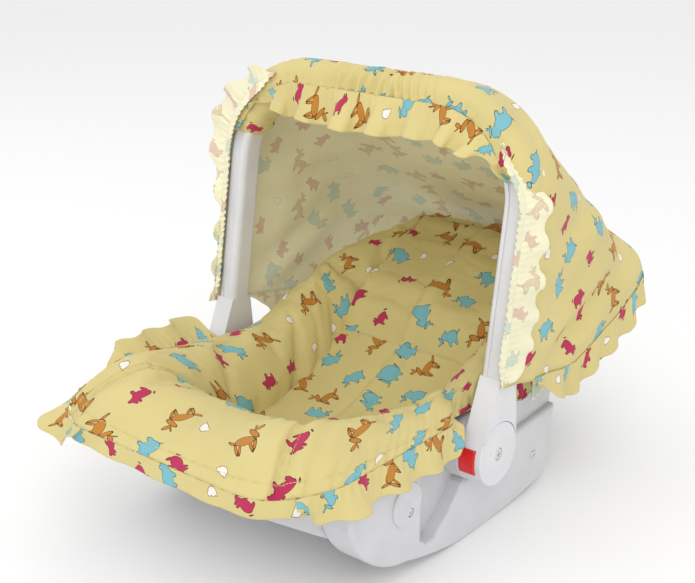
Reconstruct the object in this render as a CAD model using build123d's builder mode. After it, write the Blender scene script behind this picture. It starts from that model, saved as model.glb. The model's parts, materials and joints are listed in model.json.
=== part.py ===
"""Infant car seat: rocking shell, swinging carry handle, padded cover and folding canopy.

Frame: +Z up, floor at Z = 0, foot end towards -Y, head end towards +Y, child's left side towards -X.
Side outlines are drawn on Plane.YZ as (Y, Z), plan outlines on Plane.XY as (X, Y).
"""
import os
from math import cos, radians, sin

from build123d import *

os.makedirs("parts", exist_ok=True)

# Driving dimensions, millimetres -------------------------------------------------------------
HUB_Y = -20.0  # handle pivot
HUB_Z = 119.0
WALL = 3.5  # moulded plastic wall
GAP = 0.4  # clearance between neighbouring pieces
BLOCK_X = 260.0  # half width of blocks that are trimmed to a plan afterwards
BLOCK_Z = 600.0  # height of such blocks

# Rim of the tub, seen from the side: level to the knee, then rising to the head end
RIM_FRONT = (-400.0, 164.0)
RIM_KNEE = (95.0, 148.0)
RIM_REAR = (400.0, 282.0)
RIM_KNEE_RADIUS = 220.0
LIP_DEPTH = 13.0

# Plan of the tub walls and of the rim: half width, front Y, rear Y, front and rear corner points
TUB_PLAN = (150.0, -331.0, 296.0, 118.0, 92.0)
RIM_PLAN = (189.6, -347.0, 318.0, 128.0, 98.0)
PLAN_CORNER = 55.0
PLAN_TAPER = (80.0, 165.0)  # length of the tapered front and rear quarters

# Side moulding with the rocking edge
SIDE_INNER_X = 150.5
SIDE_OUTER_X = 192.0
VALLEY_DEPTH = 20.0
SHOULDER_DEPTH = 9.0
LOBE_CENTRE = (-155.0, 100.0)
LOBE_DISC_RADIUS = 26.0
LOBE_DISC_RISE = 2.0
FLAT_CENTRE_Y = 0.0  # level stretch that the seat stands on
FLAT_LENGTH = 90.0
SCREW_PLACES = ((-149.0, 88.0), (118.0, 52.0))
SCREW_RADIUS = 2.0
SCREW_HEAD_RADIUS = 5.0
SCREW_HEAD_SEAT = 0.6  # radial room round a head
SCREW_HOLE_ROOM = 0.2  # radial room round a shank
SCREW_BOSS_RADIUS = 7.0

# Hub
POD_RADIUS = 40.0
POD_OUTER_X = 190.0
RATCHET_RADIUS = 32.0
RATCHET_THICKNESS = 4.5
RATCHET_NOTCHES = 12
DRUM_RADIUS = 39.5
DRUM_INNER_X = 190.4
DRUM_OUTER_X = 222.0
CAP_OUTER_X = 225.0
PIVOT_RADIUS = 4.0
PIVOT_CLEARANCE = 0.05
PIVOT_HEAD_RADIUS = 7.5
PIVOT_HEAD_SINK = 0.2
DRUM_BOSS_RADIUS = 9.0

# Handle, measured in its own leaning plane
HANDLE_LEAN = 9.0
ARM_OUTER_X = 225.0
ARM_INNER_X = 197.0
ARM_HALF_DEPTH = 17.0
BOW_HEIGHT = 409.0
BOW_OUTER_CORNER = 124.0
BOW_EDGE_ROUND = 8.0
FLARE_TOP = 92.0
GROOVE_WIDTH = 11.0
GROOVE_DEPTH = 1.5

# Lock button
BUTTON_INNER_X = 196.0
BUTTON_OUTER_X = 217.0
BUTTON_HALF_HEIGHT = 15.0
BUTTON_PROUD = 2.0
BUTTON_FLANGE_FRONT = -31.6
BUTTON_FLANGE_BACK = -28.6
SPRING_RADIUS = 4.0
SPRING_WIRE = 0.6

# Soft cover
CREST_RISE = 48.0  # top of the side bolsters above the rim
BOLSTER_DROP = 60.0  # foot of the side bolsters below the rim
FRILL_RISE = 28.0  # top of the frills above the rim
BOLSTER_INNER_X = 106.0
PAD_HALF_WIDTH = 105.0
ROLL_HALF_WIDTH = 115.0
PAD_BASE_Z = 20.0  # below the tub floor everywhere
FRILL_DROP = 30.0
FRILL_THICKNESS = 8.0
FRILL_OFFSET = 3.0  # clear of the side mouldings

# Canopy
CANOPY_HALF_WIDTH = 228.0
CANOPY_CLOTH = 2.5
CANOPY_ROUND = 96.0
ROLL_PADDING = 10.0
ROLL_FOOT = 318.0  # height up the handle where the roll ends
RUFFLE_THICKNESS = 9.0

LEAN_COS = cos(radians(HANDLE_LEAN))
LEAN_SIN = sin(radians(HANDLE_LEAN))
BOW_PLANE = Plane(
    origin=(0, HUB_Y, HUB_Z), x_dir=(1, 0, 0), z_dir=(0, -LEAN_COS, LEAN_SIN)
)


def arm_plane(x: float) -> Plane:
    """Plane across an arm at X = x: local x runs backwards, local y runs up the arm."""
    return Plane(origin=(x, HUB_Y, HUB_Z), x_dir=(0, LEAN_COS, -LEAN_SIN), z_dir=(1, 0, 0))


def hub_plane(x: float) -> Plane:
    """Plane square to the pivot axis at X = x."""
    return Plane(origin=(x, HUB_Y, HUB_Z), x_dir=(0, 1, 0), z_dir=(1, 0, 0))


def rim_line(rise: float) -> list:
    """The rim's three side-view points, lifted by rise."""
    return [(y, z + rise) for y, z in (RIM_FRONT, RIM_KNEE, RIM_REAR)]


def side_band(low: float, high: float, half_width: float) -> Part:
    """Solid band between the rim line lifted by low and by high, across the whole width."""
    with BuildPart() as band:
        with BuildSketch(Plane.YZ.offset(-half_width)):
            with BuildLine():
                top = FilletPolyline(*rim_line(high), radius=RIM_KNEE_RADIUS)
                bottom = FilletPolyline(*rim_line(low), radius=RIM_KNEE_RADIUS)
                Line(top @ 0, bottom @ 0)
                Line(top @ 1, bottom @ 1)
            make_face()
        extrude(amount=2 * half_width)
    return band.part


def plan_column(plan: tuple, inset: float) -> Part:
    """Upright column with the plan outline, shrunk by inset."""
    half, front, rear, front_half, rear_half = plan
    front_taper, rear_taper = PLAN_TAPER
    right = [
        (front_half, front),
        (half, front + front_taper),
        (half, rear - rear_taper),
        (rear_half, rear),
    ]
    left = [(-x, y) for x, y in reversed(right)]
    with BuildPart() as column:
        with BuildSketch():
            with BuildLine():
                Polyline(*right, *left, close=True)
            make_face()
            offset(amount=-inset, kind=Kind.INTERSECTION)
            fillet(vertices(), PLAN_CORNER - inset)
        extrude(amount=BLOCK_Z)
    return column.part


def profile_solid(points: list, half_width: float) -> Part:
    """Side outline pulled across the width, from -half_width to half_width."""
    with BuildPart() as solid:
        with BuildSketch(Plane.YZ.offset(-half_width)):
            with BuildLine():
                Polyline(*points, close=True)
            make_face()
        extrude(amount=2 * half_width)
    return solid.part


# Underside of the tub, front to rear, and the line of its floor inside ------------------------
TUB_UNDER = [(-364, 161), (-345, 150), (-212, 62), (-140, 40), (-20, 42), (118, 108), (205, 160), (400, 260)]
TUB_FLOOR = [(y, z + 1.25 * WALL) for y, z in TUB_UNDER]


def tub_solid(under: list, inset: float, top_rise: float) -> Part:
    """The tub's volume between an underside line and the rim."""
    with BuildPart() as body:
        with BuildSketch(Plane.YZ.offset(-BLOCK_X)):
            with BuildLine():
                top = FilletPolyline(*rim_line(top_rise), radius=RIM_KNEE_RADIUS)
                Polyline(top @ 0, *under, top @ 1)
            make_face()
        extrude(amount=2 * BLOCK_X)
    return body.part & plan_column(TUB_PLAN, inset)


tub_cavity = tub_solid(TUB_FLOOR, WALL, 80)
rim_flange = side_band(-WALL, 0, BLOCK_X) & (plan_column(RIM_PLAN, 0) - plan_column(TUB_PLAN, WALL))
rim_lip = side_band(-LIP_DEPTH, 0, BLOCK_X) & (plan_column(RIM_PLAN, 0) - plan_column(RIM_PLAN, WALL))


def hub_bar(radius: float, inner_x: float) -> Part:
    """Two discs on the pivot axis, from inner_x outwards on both sides."""
    with BuildPart() as bar:
        for side in (-1, 1):
            with BuildSketch(hub_plane(side * inner_x)):
                Circle(radius)
            extrude(amount=side * 80)
    return bar.part


POD_INNER_X = SIDE_OUTER_X - VALLEY_DEPTH - WALL
hub_notch = hub_bar(POD_RADIUS + 1.5, POD_INNER_X - 1)

# Seat tub --------------------------------------------------------------------------------------
with BuildPart() as seat_tub:
    add(tub_solid(TUB_UNDER, 0, 0))
    add(tub_cavity, mode=Mode.SUBTRACT)
    add(rim_flange)
    add(rim_lip)
    add(hub_notch, mode=Mode.SUBTRACT)
    for side in (-1, 1):
        for place in SCREW_PLACES:
            with BuildSketch(Plane.YZ.offset(side * (TUB_PLAN[0] - 2 * WALL))):
                with Locations(place):
                    Circle(SCREW_RADIUS + SCREW_HOLE_ROOM)
            extrude(amount=side * 3 * WALL, mode=Mode.SUBTRACT)

# Side mouldings --------------------------------------------------------------------------------
SIDE_TOP_DROP = -LIP_DEPTH - 3.0
FLAT_FRONT = (FLAT_CENTRE_Y - FLAT_LENGTH / 2, 0.0)
FLAT_REAR = (FLAT_CENTRE_Y + FLAT_LENGTH / 2, 0.0)
VALLEY = [(-125, 40), (-112, 30), (-96, 30), (-66, 52), (-42, 78), (-22, 88), (-22, 170), (-125, 170)]
SHOULDER = [(-22, 88), (60, 100), (200, 108), (200, 220), (-22, 170)]


def side_block(inset: float) -> Part:
    """Right side moulding as one solid, shrunk by inset on every outer face."""
    start_x = SIDE_INNER_X - inset
    with BuildPart() as block:
        with BuildSketch(Plane.YZ.offset(start_x)):
            with BuildLine():
                front = ThreePointArc((-253, 108), (-226, 62), (-152, 24))
                belly = ThreePointArc(front @ 1, (-98, 9), FLAT_FRONT)
                flat = Line(belly @ 1, FLAT_REAR)
                heel = ThreePointArc(flat @ 1, (100, 4.5), (150, 13))
                Polyline(heel @ 1, (160, 34), (176, 190), (-250, 190), front @ 0)
            make_face()
            offset(amount=-inset, kind=Kind.INTERSECTION)
        extrude(amount=SIDE_OUTER_X - inset - start_x)
        for outline, depth in ((VALLEY, VALLEY_DEPTH), (SHOULDER, SHOULDER_DEPTH)):
            with BuildSketch(Plane.YZ.offset(SIDE_OUTER_X + 1)):
                with BuildLine():
                    Polyline(*outline, close=True)
                make_face()
                offset(amount=inset + 0.01, kind=Kind.ARC)
            extrude(amount=-(depth + inset + 1), mode=Mode.SUBTRACT)
    return block.part


with BuildPart() as rocker_side_right:
    add(side_block(0))
    outer_edges = edges().filter_by_position(Axis.X, SIDE_OUTER_X - 0.1, SIDE_OUTER_X + 0.1)
    fillet(outer_edges, 5)
    with BuildSketch(Plane.YZ.offset(SIDE_OUTER_X - 1)):
        with Locations(LOBE_CENTRE):
            Circle(LOBE_DISC_RADIUS)
    extrude(amount=1 + LOBE_DISC_RISE)
    add(side_block(WALL), mode=Mode.SUBTRACT)
    add(side_band(SIDE_TOP_DROP, BLOCK_Z / 3, BLOCK_X), mode=Mode.SUBTRACT)
    add(hub_bar(DRUM_RADIUS + 2, POD_OUTER_X - 0.1), mode=Mode.SUBTRACT)
    with BuildSketch(hub_plane(POD_INNER_X)):
        Circle(POD_RADIUS)
    extrude(amount=POD_OUTER_X - POD_INNER_X)
    with BuildSketch(hub_plane(POD_OUTER_X)):
        Circle(RATCHET_RADIUS + GAP)
    extrude(amount=-RATCHET_THICKNESS - GAP, mode=Mode.SUBTRACT)
    with BuildSketch(hub_plane(SIDE_INNER_X)):
        Circle(PIVOT_RADIUS + PIVOT_CLEARANCE)
    extrude(amount=60, mode=Mode.SUBTRACT)
    with BuildSketch(Plane.YZ.offset(SIDE_INNER_X)):
        with Locations(*SCREW_PLACES):
            Circle(SCREW_BOSS_RADIUS)
    extrude(amount=SIDE_OUTER_X - SIDE_INNER_X - 1)
    with BuildSketch(Plane.YZ.offset(SIDE_INNER_X)):
        with Locations(*SCREW_PLACES):
            Circle(SCREW_RADIUS + SCREW_HOLE_ROOM)
    extrude(amount=60, mode=Mode.SUBTRACT)
    with BuildSketch(Plane.YZ.offset(SIDE_OUTER_X - 1)):
        with Locations(*SCREW_PLACES):
            Circle(SCREW_HEAD_RADIUS + SCREW_HEAD_SEAT)
    extrude(amount=10, mode=Mode.SUBTRACT)

with BuildPart() as rocker_side_left:
    mirror(rocker_side_right.part, about=Plane.YZ)

# Screws that hold the side mouldings to the tub -------------------------------------------------
SCREW_HEAD_THICKNESS = 2.4
SCREW_END_X = TUB_PLAN[0] - WALL - 2
SCREW_SEAT_X = SIDE_OUTER_X - 1
RECESS_SIZE = (5.2, 1.2)


def cross_recess(plane: Plane, length: float, depth: float) -> Part:
    """Cross-shaped pocket for a screwdriver, cut inwards from the plane."""
    with BuildPart() as pocket:
        with BuildSketch(plane):
            Rectangle(length, length / 4)
            Rectangle(length / 4, length)
        extrude(amount=-depth)
    return pocket.part


def side_screw(place: tuple) -> Part:
    """Pan-head screw through the right side moulding at (Y, Z)."""
    head_plane = Plane(origin=(SCREW_SEAT_X, *place), x_dir=(0, 1, 0), z_dir=(1, 0, 0))
    with BuildPart() as screw:
        with BuildSketch(head_plane):
            Circle(SCREW_HEAD_RADIUS)
        extrude(amount=SCREW_HEAD_THICKNESS)
        fillet(edges().sort_by(Axis.X)[-1], 1.2)
        with BuildSketch(head_plane):
            Circle(SCREW_RADIUS)
        extrude(amount=SCREW_END_X - SCREW_SEAT_X)
        top_plane = head_plane.offset(SCREW_HEAD_THICKNESS)
        add(cross_recess(top_plane, *RECESS_SIZE), mode=Mode.SUBTRACT)
    return screw.part


with BuildPart() as side_screws:
    for place in SCREW_PLACES:
        right_screw = side_screw(place)
        add(right_screw)
        mirror(right_screw, about=Plane.YZ)

# Ratchet plate, pivot screw and nut --------------------------------------------------------------
NOTCH_RADIUS = 3.0
PIVOT_HEAD_THICKNESS = 3.0
PIVOT_INNER_X = 154.0
NUT_THICKNESS = 6.0
NUT_FLAT_RADIUS = 7.0

with BuildPart() as ratchet_plate_right:
    with BuildSketch(hub_plane(POD_OUTER_X - RATCHET_THICKNESS)):
        Circle(RATCHET_RADIUS)
        Circle(PIVOT_RADIUS + GAP, mode=Mode.SUBTRACT)
        with PolarLocations(RATCHET_RADIUS - NOTCH_RADIUS / 2, RATCHET_NOTCHES):
            Circle(NOTCH_RADIUS, mode=Mode.SUBTRACT)
    extrude(amount=RATCHET_THICKNESS)

with BuildPart() as pivot_screw_right:
    with BuildSketch(hub_plane(PIVOT_INNER_X)):
        Circle(PIVOT_RADIUS)
    extrude(amount=DRUM_OUTER_X - PIVOT_INNER_X)
    with BuildSketch(hub_plane(DRUM_OUTER_X)):
        Circle(PIVOT_HEAD_RADIUS)
    extrude(amount=PIVOT_HEAD_THICKNESS)
    fillet(edges().sort_by(Axis.X)[-1], 1.4)
    add(cross_recess(hub_plane(CAP_OUTER_X), 8.0, 1.6), mode=Mode.SUBTRACT)

with BuildPart() as pivot_nut_right:
    with BuildSketch(hub_plane(POD_INNER_X - NUT_THICKNESS)):
        RegularPolygon(NUT_FLAT_RADIUS, 6, major_radius=False)
        Circle(PIVOT_RADIUS, mode=Mode.SUBTRACT)
    extrude(amount=NUT_THICKNESS)

# Carry handle: one bow with a drum at each foot ---------------------------------------------------
def bow_outline(outer_x: float, inner_x: float, height: float, corner: float) -> Sketch:
    """The bow's flat U, open at the foot, in the handle's leaning plane."""
    band = outer_x - inner_x
    with BuildSketch(Plane.XY) as outline:
        with Locations((0, height / 2)):
            Rectangle(2 * outer_x, height)
        fillet(vertices().group_by(Axis.Y)[-1], corner)
        with BuildSketch(Plane.XY, mode=Mode.SUBTRACT):
            with Locations((0, (height - band) / 2)):
                Rectangle(2 * inner_x, height - band)
            fillet(vertices().group_by(Axis.Y)[-1], corner - band)
    return outline.sketch


with BuildPart() as handle_bow:
    with BuildSketch(BOW_PLANE):
        add(bow_outline(ARM_OUTER_X, ARM_INNER_X, BOW_HEIGHT, BOW_OUTER_CORNER))
    extrude(amount=ARM_HALF_DEPTH, both=True)
    long_edges = edges().filter_by(
        lambda edge: abs(abs((edge.center() - BOW_PLANE.origin).dot(BOW_PLANE.z_dir)) - ARM_HALF_DEPTH) < 0.5
        and edge.length > 2.2 * ARM_HALF_DEPTH
    )
    fillet(long_edges, BOW_EDGE_ROUND)
    groove_inset = (ARM_OUTER_X - ARM_INNER_X - GROOVE_WIDTH) / 2
    with BuildSketch(BOW_PLANE.offset(ARM_HALF_DEPTH)):
        add(
            bow_outline(
                ARM_OUTER_X - groove_inset,
                ARM_INNER_X + groove_inset,
                BOW_HEIGHT - groove_inset,
                BOW_OUTER_CORNER - groove_inset,
            )
        )
    extrude(amount=-GROOVE_DEPTH, mode=Mode.SUBTRACT)
    for side in (-1, 1):
        foot_x = side * ARM_INNER_X
        with BuildSketch(arm_plane(foot_x)):
            with BuildLine():
                Polyline(
                    (-DRUM_RADIUS + 1.5, 8),
                    (-ARM_HALF_DEPTH, FLARE_TOP),
                    (ARM_HALF_DEPTH, FLARE_TOP),
                    (DRUM_RADIUS - 1.5, 8),
                    close=True,
                )
            make_face()
        extrude(amount=side * (ARM_OUTER_X - ARM_INNER_X))
        with BuildSketch(hub_plane(side * DRUM_INNER_X)):
            Circle(DRUM_RADIUS)
        extrude(amount=side * (DRUM_OUTER_X - DRUM_INNER_X))
        with BuildSketch(hub_plane(side * DRUM_OUTER_X)):
            Circle(DRUM_RADIUS + GAP)
        extrude(amount=side * 10, mode=Mode.SUBTRACT)
        with BuildSketch(hub_plane(side * (DRUM_INNER_X + WALL))):
            Circle(DRUM_RADIUS - WALL)
            Circle(DRUM_BOSS_RADIUS, mode=Mode.SUBTRACT)
        extrude(amount=side * 40, mode=Mode.SUBTRACT)
        with BuildSketch(hub_plane(side * DRUM_OUTER_X)):
            Circle(PIVOT_HEAD_RADIUS + GAP)
        extrude(amount=-side * PIVOT_HEAD_SINK, mode=Mode.SUBTRACT)
        with BuildSketch(hub_plane(side * (DRUM_INNER_X - 1))):
            Circle(PIVOT_RADIUS + PIVOT_CLEARANCE)
        extrude(amount=side * 60, mode=Mode.SUBTRACT)
        window_x = side * (BUTTON_INNER_X + BUTTON_OUTER_X) / 2
        with BuildSketch(Plane(origin=(window_x, HUB_Y, HUB_Z), x_dir=(1, 0, 0), z_dir=(0, -1, 0))):
            Rectangle(BUTTON_OUTER_X - BUTTON_INNER_X + 2 * GAP, 2 * (BUTTON_HALF_HEIGHT + GAP))
        extrude(amount=DRUM_RADIUS + 5, mode=Mode.SUBTRACT)
    for side in (-1, 1):
        with BuildSketch(hub_plane(side * (DRUM_INNER_X + WALL))):
            Circle(DRUM_BOSS_RADIUS)
            Circle(PIVOT_RADIUS + PIVOT_CLEARANCE, mode=Mode.SUBTRACT)
        extrude(amount=side * (DRUM_OUTER_X - PIVOT_HEAD_SINK - DRUM_INNER_X - WALL))

with BuildPart() as hub_cap_right:
    with BuildSketch(hub_plane(DRUM_OUTER_X)):
        Circle(DRUM_RADIUS - 0.5)
        Circle(PIVOT_HEAD_RADIUS + GAP, mode=Mode.SUBTRACT)
    extrude(amount=CAP_OUTER_X - DRUM_OUTER_X)
    fillet(edges().group_by(Axis.X)[-1].sort_by(SortBy.LENGTH)[-1], 1.4)
    with BuildSketch(hub_plane(DRUM_OUTER_X - WALL)):
        Circle(DRUM_RADIUS - WALL - GAP)
        Circle(DRUM_RADIUS - 2 * WALL, mode=Mode.SUBTRACT)
    extrude(amount=WALL)

# Lock button, its travel is straight back into the drum --------------------------------------------
button_mid_x = (BUTTON_INNER_X + BUTTON_OUTER_X) / 2
button_plane = Plane(origin=(button_mid_x, HUB_Y, HUB_Z), x_dir=(1, 0, 0), z_dir=(0, -1, 0))

with BuildPart() as lock_button_right:
    with BuildSketch(button_plane.offset(-BUTTON_FLANGE_BACK)):
        Rectangle(BUTTON_OUTER_X - BUTTON_INNER_X, 2 * BUTTON_HALF_HEIGHT)
    extrude(amount=30)
    with BuildSketch(hub_plane(BUTTON_INNER_X - 5)):
        Circle(DRUM_RADIUS + BUTTON_PROUD)
    extrude(amount=40, mode=Mode.INTERSECT)
    fillet(edges().group_by(Axis.Y)[0], 0.8)
    with BuildSketch(button_plane.offset(-BUTTON_FLANGE_BACK)):
        Rectangle(BUTTON_OUTER_X - BUTTON_INNER_X + 2, 2 * BUTTON_HALF_HEIGHT + 3)
    extrude(amount=BUTTON_FLANGE_BACK - BUTTON_FLANGE_FRONT)

SPRING_TURNS = 5
SPRING_LENGTH = -BUTTON_FLANGE_BACK - DRUM_BOSS_RADIUS - 0.6 - 2 * SPRING_WIRE
spring_plane = button_plane.offset(DRUM_BOSS_RADIUS + 0.3 + SPRING_WIRE)

with BuildPart() as button_spring_right:
    with BuildLine():
        coil = Helix(
            pitch=SPRING_LENGTH / SPRING_TURNS,
            height=SPRING_LENGTH,
            radius=SPRING_RADIUS,
            center=spring_plane.origin,
            direction=spring_plane.z_dir,
        )
    with BuildSketch(Plane(origin=coil @ 0, z_dir=coil % 0)):
        Circle(SPRING_WIRE)
    sweep(path=coil, is_frenet=True)

# Padded cover ---------------------------------------------------------------------------------------
# Side-view lines of the lying surface: up the calves, into the seat, up the back
SEAT_CREASE = (113.0, 158.0)
ROLL_BACK_FOOT = (-141.0, 104.0)
ROLL_BOTTOM = 102.0
tub_lining = tub_solid([(y, z + GAP) for y, z in TUB_FLOOR], WALL + GAP, 100)
BACK_TOP = [SEAT_CREASE, (140, 196), (202, 230), (262, 256), (300, 262), (318, 252)]
SEAT_TOP = [ROLL_BACK_FOOT, (-100, 92), (-6, 104), (52, 128), (SEAT_CREASE[0] - 2, SEAT_CREASE[1] - 2)]
ROLL_TOP = [(-338, 190), (-318, 204), (-262, 205), (-222, 184), (-180, 148), (-143, 106)]


def pad(points: list, half_width: float, bottom: float) -> Part:
    """Pad with the given top line, filling the tub below it down to the height bottom."""
    y_first, y_last = points[0][0], points[-1][0]
    block = profile_solid(points + [(y_last, bottom), (y_first, bottom)], half_width)
    return block & tub_lining


with BuildPart() as backrest_pad:
    add(pad(BACK_TOP, PAD_HALF_WIDTH, PAD_BASE_Z))

with BuildPart() as seat_pad:
    add(pad(SEAT_TOP, PAD_HALF_WIDTH, PAD_BASE_Z))

with BuildPart() as leg_rest_roll:
    add(pad(ROLL_TOP, ROLL_HALF_WIDTH, ROLL_BOTTOM))

# Bolsters lie over the rim from the knees to the shoulders
BOLSTER_FRONT_Y = -332.0
ROLL_CUT = [
    (ROLL_TOP[0][0] - PAD_BASE_Z, ROLL_TOP[0][1] + GAP),
    *[(y, z + GAP) for y, z in ROLL_TOP],
    (ROLL_TOP[-1][0], ROLL_BOTTOM - GAP),
    (ROLL_TOP[0][0] - PAD_BASE_Z, ROLL_BOTTOM - GAP),
]
BOLSTER_REAR_Y = 286.0

with BuildPart() as bolster_right:
    add(side_band(-BOLSTER_DROP, CREST_RISE, BLOCK_X) & tub_lining)
    add(side_band(GAP, CREST_RISE, BLOCK_X) & plan_column(RIM_PLAN, 0))
    with BuildSketch():
        with Locations(((BOLSTER_INNER_X + BLOCK_X) / 2, (BOLSTER_FRONT_Y + BOLSTER_REAR_Y) / 2)):
            Rectangle(BLOCK_X - BOLSTER_INNER_X, BOLSTER_REAR_Y - BOLSTER_FRONT_Y)
    extrude(amount=BLOCK_Z, mode=Mode.INTERSECT)
    add(profile_solid(ROLL_CUT, ROLL_HALF_WIDTH + GAP), mode=Mode.SUBTRACT)
    add(hub_notch, mode=Mode.SUBTRACT)

with BuildPart() as bolster_left:
    mirror(bolster_right.part, about=Plane.YZ)

frill_ring = side_band(-FRILL_DROP, FRILL_RISE, BLOCK_X) & (
    plan_column(RIM_PLAN, -FRILL_THICKNESS - FRILL_OFFSET) - plan_column(RIM_PLAN, -FRILL_OFFSET)
)
FRILL_HUB_MARGIN = 52.0


def zone(x_low: float, x_high: float, y_low: float, y_high: float) -> Part:
    """Upright block over a stretch of the plan."""
    with BuildPart() as block:
        with BuildSketch():
            with Locations(((x_low + x_high) / 2, (y_low + y_high) / 2)):
                Rectangle(x_high - x_low, y_high - y_low)
        extrude(amount=BLOCK_Z)
    return block.part


with BuildPart() as side_frill_right:
    add(frill_ring & zone(PAD_HALF_WIDTH, 300, -400, HUB_Y - FRILL_HUB_MARGIN))

with BuildPart() as side_frill_left:
    mirror(side_frill_right.part, about=Plane.YZ)

with BuildPart() as front_apron:
    add(frill_ring & zone(GAP - PAD_HALF_WIDTH, PAD_HALF_WIDTH - GAP, -400, -200))

# Canopy -----------------------------------------------------------------------------------------------
CANOPY_TOP_FRONT = (74.0, 530.0)
CANOPY_BACK = (352.0, 272.0)
CANOPY_FOOT = (40.0, 196.0)
CANOPY_HEM_FRONT = (150.0, 176.0)
CANOPY_HEM_REAR = (340.0, 238.0)
OPEN_REACH = 40.0
SLOPE_THICKEN = 1.4  # level measure of the cloth on the sloping faces, per millimetre of thickness
TOP_SLOPE = 0.93  # rise of the top face per millimetre towards the front


def canopy_block(inset: float, reach: float) -> Part:
    """The canopy's outer shape, shrunk by inset and run past its open front and foot by reach."""
    outline = [
        (CANOPY_FOOT[0] - 2 * reach, CANOPY_FOOT[1] - reach),
        (CANOPY_TOP_FRONT[0] - reach, CANOPY_TOP_FRONT[1] - SLOPE_THICKEN * inset + TOP_SLOPE * reach),
        (CANOPY_BACK[0] - SLOPE_THICKEN * inset, CANOPY_BACK[1]),
        (CANOPY_HEM_REAR[0] - SLOPE_THICKEN * inset, CANOPY_HEM_REAR[1] - reach),
        (CANOPY_HEM_FRONT[0], CANOPY_HEM_FRONT[1] - reach),
    ]
    with BuildPart() as block:
        with BuildSketch(Plane.YZ.offset(inset - CANOPY_HALF_WIDTH)):
            with BuildLine():
                Polyline(*outline, close=True)
            make_face()
        extrude(amount=2 * (CANOPY_HALF_WIDTH - inset))
        slope_face = faces().sort_by(Axis.Z)[-1]
        side_edges = slope_face.edges().filter_by(lambda edge: abs(edge.center().X) > 100)
        fillet(side_edges, CANOPY_ROUND - inset)
    return block.part


with BuildPart() as canopy_sheet:
    add(canopy_block(0, 0))
    add(canopy_block(CANOPY_CLOTH, OPEN_REACH), mode=Mode.SUBTRACT)


def bow_tube(padding: float) -> Part:
    """Solid that follows the handle bow, thicker by padding on every side."""
    with BuildPart() as tube:
        with BuildSketch(BOW_PLANE):
            add(
                bow_outline(
                    ARM_OUTER_X + padding,
                    ARM_INNER_X - padding,
                    BOW_HEIGHT + padding,
                    BOW_OUTER_CORNER + padding,
                )
            )
        extrude(amount=ARM_HALF_DEPTH + padding, both=True)
    return tube.part


with BuildPart() as canopy_roll:
    add(bow_tube(ROLL_PADDING))
    with BuildSketch(BOW_PLANE):
        with Locations((0, ROLL_FOOT / 2)):
            Rectangle(2 * BLOCK_X, ROLL_FOOT)
    extrude(amount=60, both=True, mode=Mode.SUBTRACT)
    add(bow_tube(GAP), mode=Mode.SUBTRACT)

# Gathered ruffle: one strip down the outside of each arm and one in front of the crossbar
RUFFLE_FOOT = 84.0
RUFFLE_FRONT = -6.0
RUFFLE_BACK = 38.0

with BuildPart() as ruffle_right:
    with BuildSketch(arm_plane(ARM_OUTER_X + 1)):
        with Locations(((RUFFLE_FRONT + RUFFLE_BACK) / 2, (RUFFLE_FOOT + ROLL_FOOT - 1) / 2)):
            Rectangle(RUFFLE_BACK - RUFFLE_FRONT, ROLL_FOOT - 1 - RUFFLE_FOOT)
    extrude(amount=RUFFLE_THICKNESS)
    fillet(edges().filter_by(lambda edge: edge.length > 200), RUFFLE_THICKNESS / 3)
    add(canopy_block(-GAP, OPEN_REACH), mode=Mode.SUBTRACT)

with BuildPart() as ruffle_left:
    mirror(ruffle_right.part, about=Plane.YZ)

RUFFLE_TOP_HALF = 150.0
RUFFLE_TOP_LOW = 352.0
RUFFLE_TOP_HIGH = 396.0

with BuildPart() as ruffle_top:
    with BuildSketch(BOW_PLANE.offset(ARM_HALF_DEPTH + ROLL_PADDING + GAP)):
        with Locations((0, (RUFFLE_TOP_LOW + RUFFLE_TOP_HIGH) / 2)):
            Rectangle(2 * RUFFLE_TOP_HALF, RUFFLE_TOP_HIGH - RUFFLE_TOP_LOW)
    extrude(amount=RUFFLE_THICKNESS)
    fillet(edges().filter_by(Axis.X), RUFFLE_THICKNESS / 3)

# Frill below the canopy's hem, round the head end
HEM_PLAN = (236.0, -400.0, 358.0, 236.0, 205.0)
HEM_THICKNESS = 6.0
HEM_OUTLINE = [
    (110, 182),
    (150, CANOPY_HEM_FRONT[1] - 1),
    (CANOPY_HEM_REAR[0], CANOPY_HEM_REAR[1] - 1),
    (370, CANOPY_HEM_REAR[1] + 4),
    (345, 190),
    (268, 146),
    (185, 130),
    (113, 148),
]

with BuildPart() as hem_frill:
    hem_ring = plan_column(HEM_PLAN, 0) - plan_column(HEM_PLAN, HEM_THICKNESS)
    add(profile_solid(HEM_OUTLINE, BLOCK_X) & hem_ring)

# Left-hand copies of the mirrored hardware -------------------------------------------------------------
with BuildPart() as ratchet_plate_left:
    mirror(ratchet_plate_right.part, about=Plane.YZ)
with BuildPart() as pivot_screw_left:
    mirror(pivot_screw_right.part, about=Plane.YZ)
with BuildPart() as pivot_nut_left:
    mirror(pivot_nut_right.part, about=Plane.YZ)
with BuildPart() as hub_cap_left:
    mirror(hub_cap_right.part, about=Plane.YZ)
with BuildPart() as lock_button_left:
    mirror(lock_button_right.part, about=Plane.YZ)
with BuildPart() as button_spring_left:
    mirror(button_spring_right.part, about=Plane.YZ)

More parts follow.
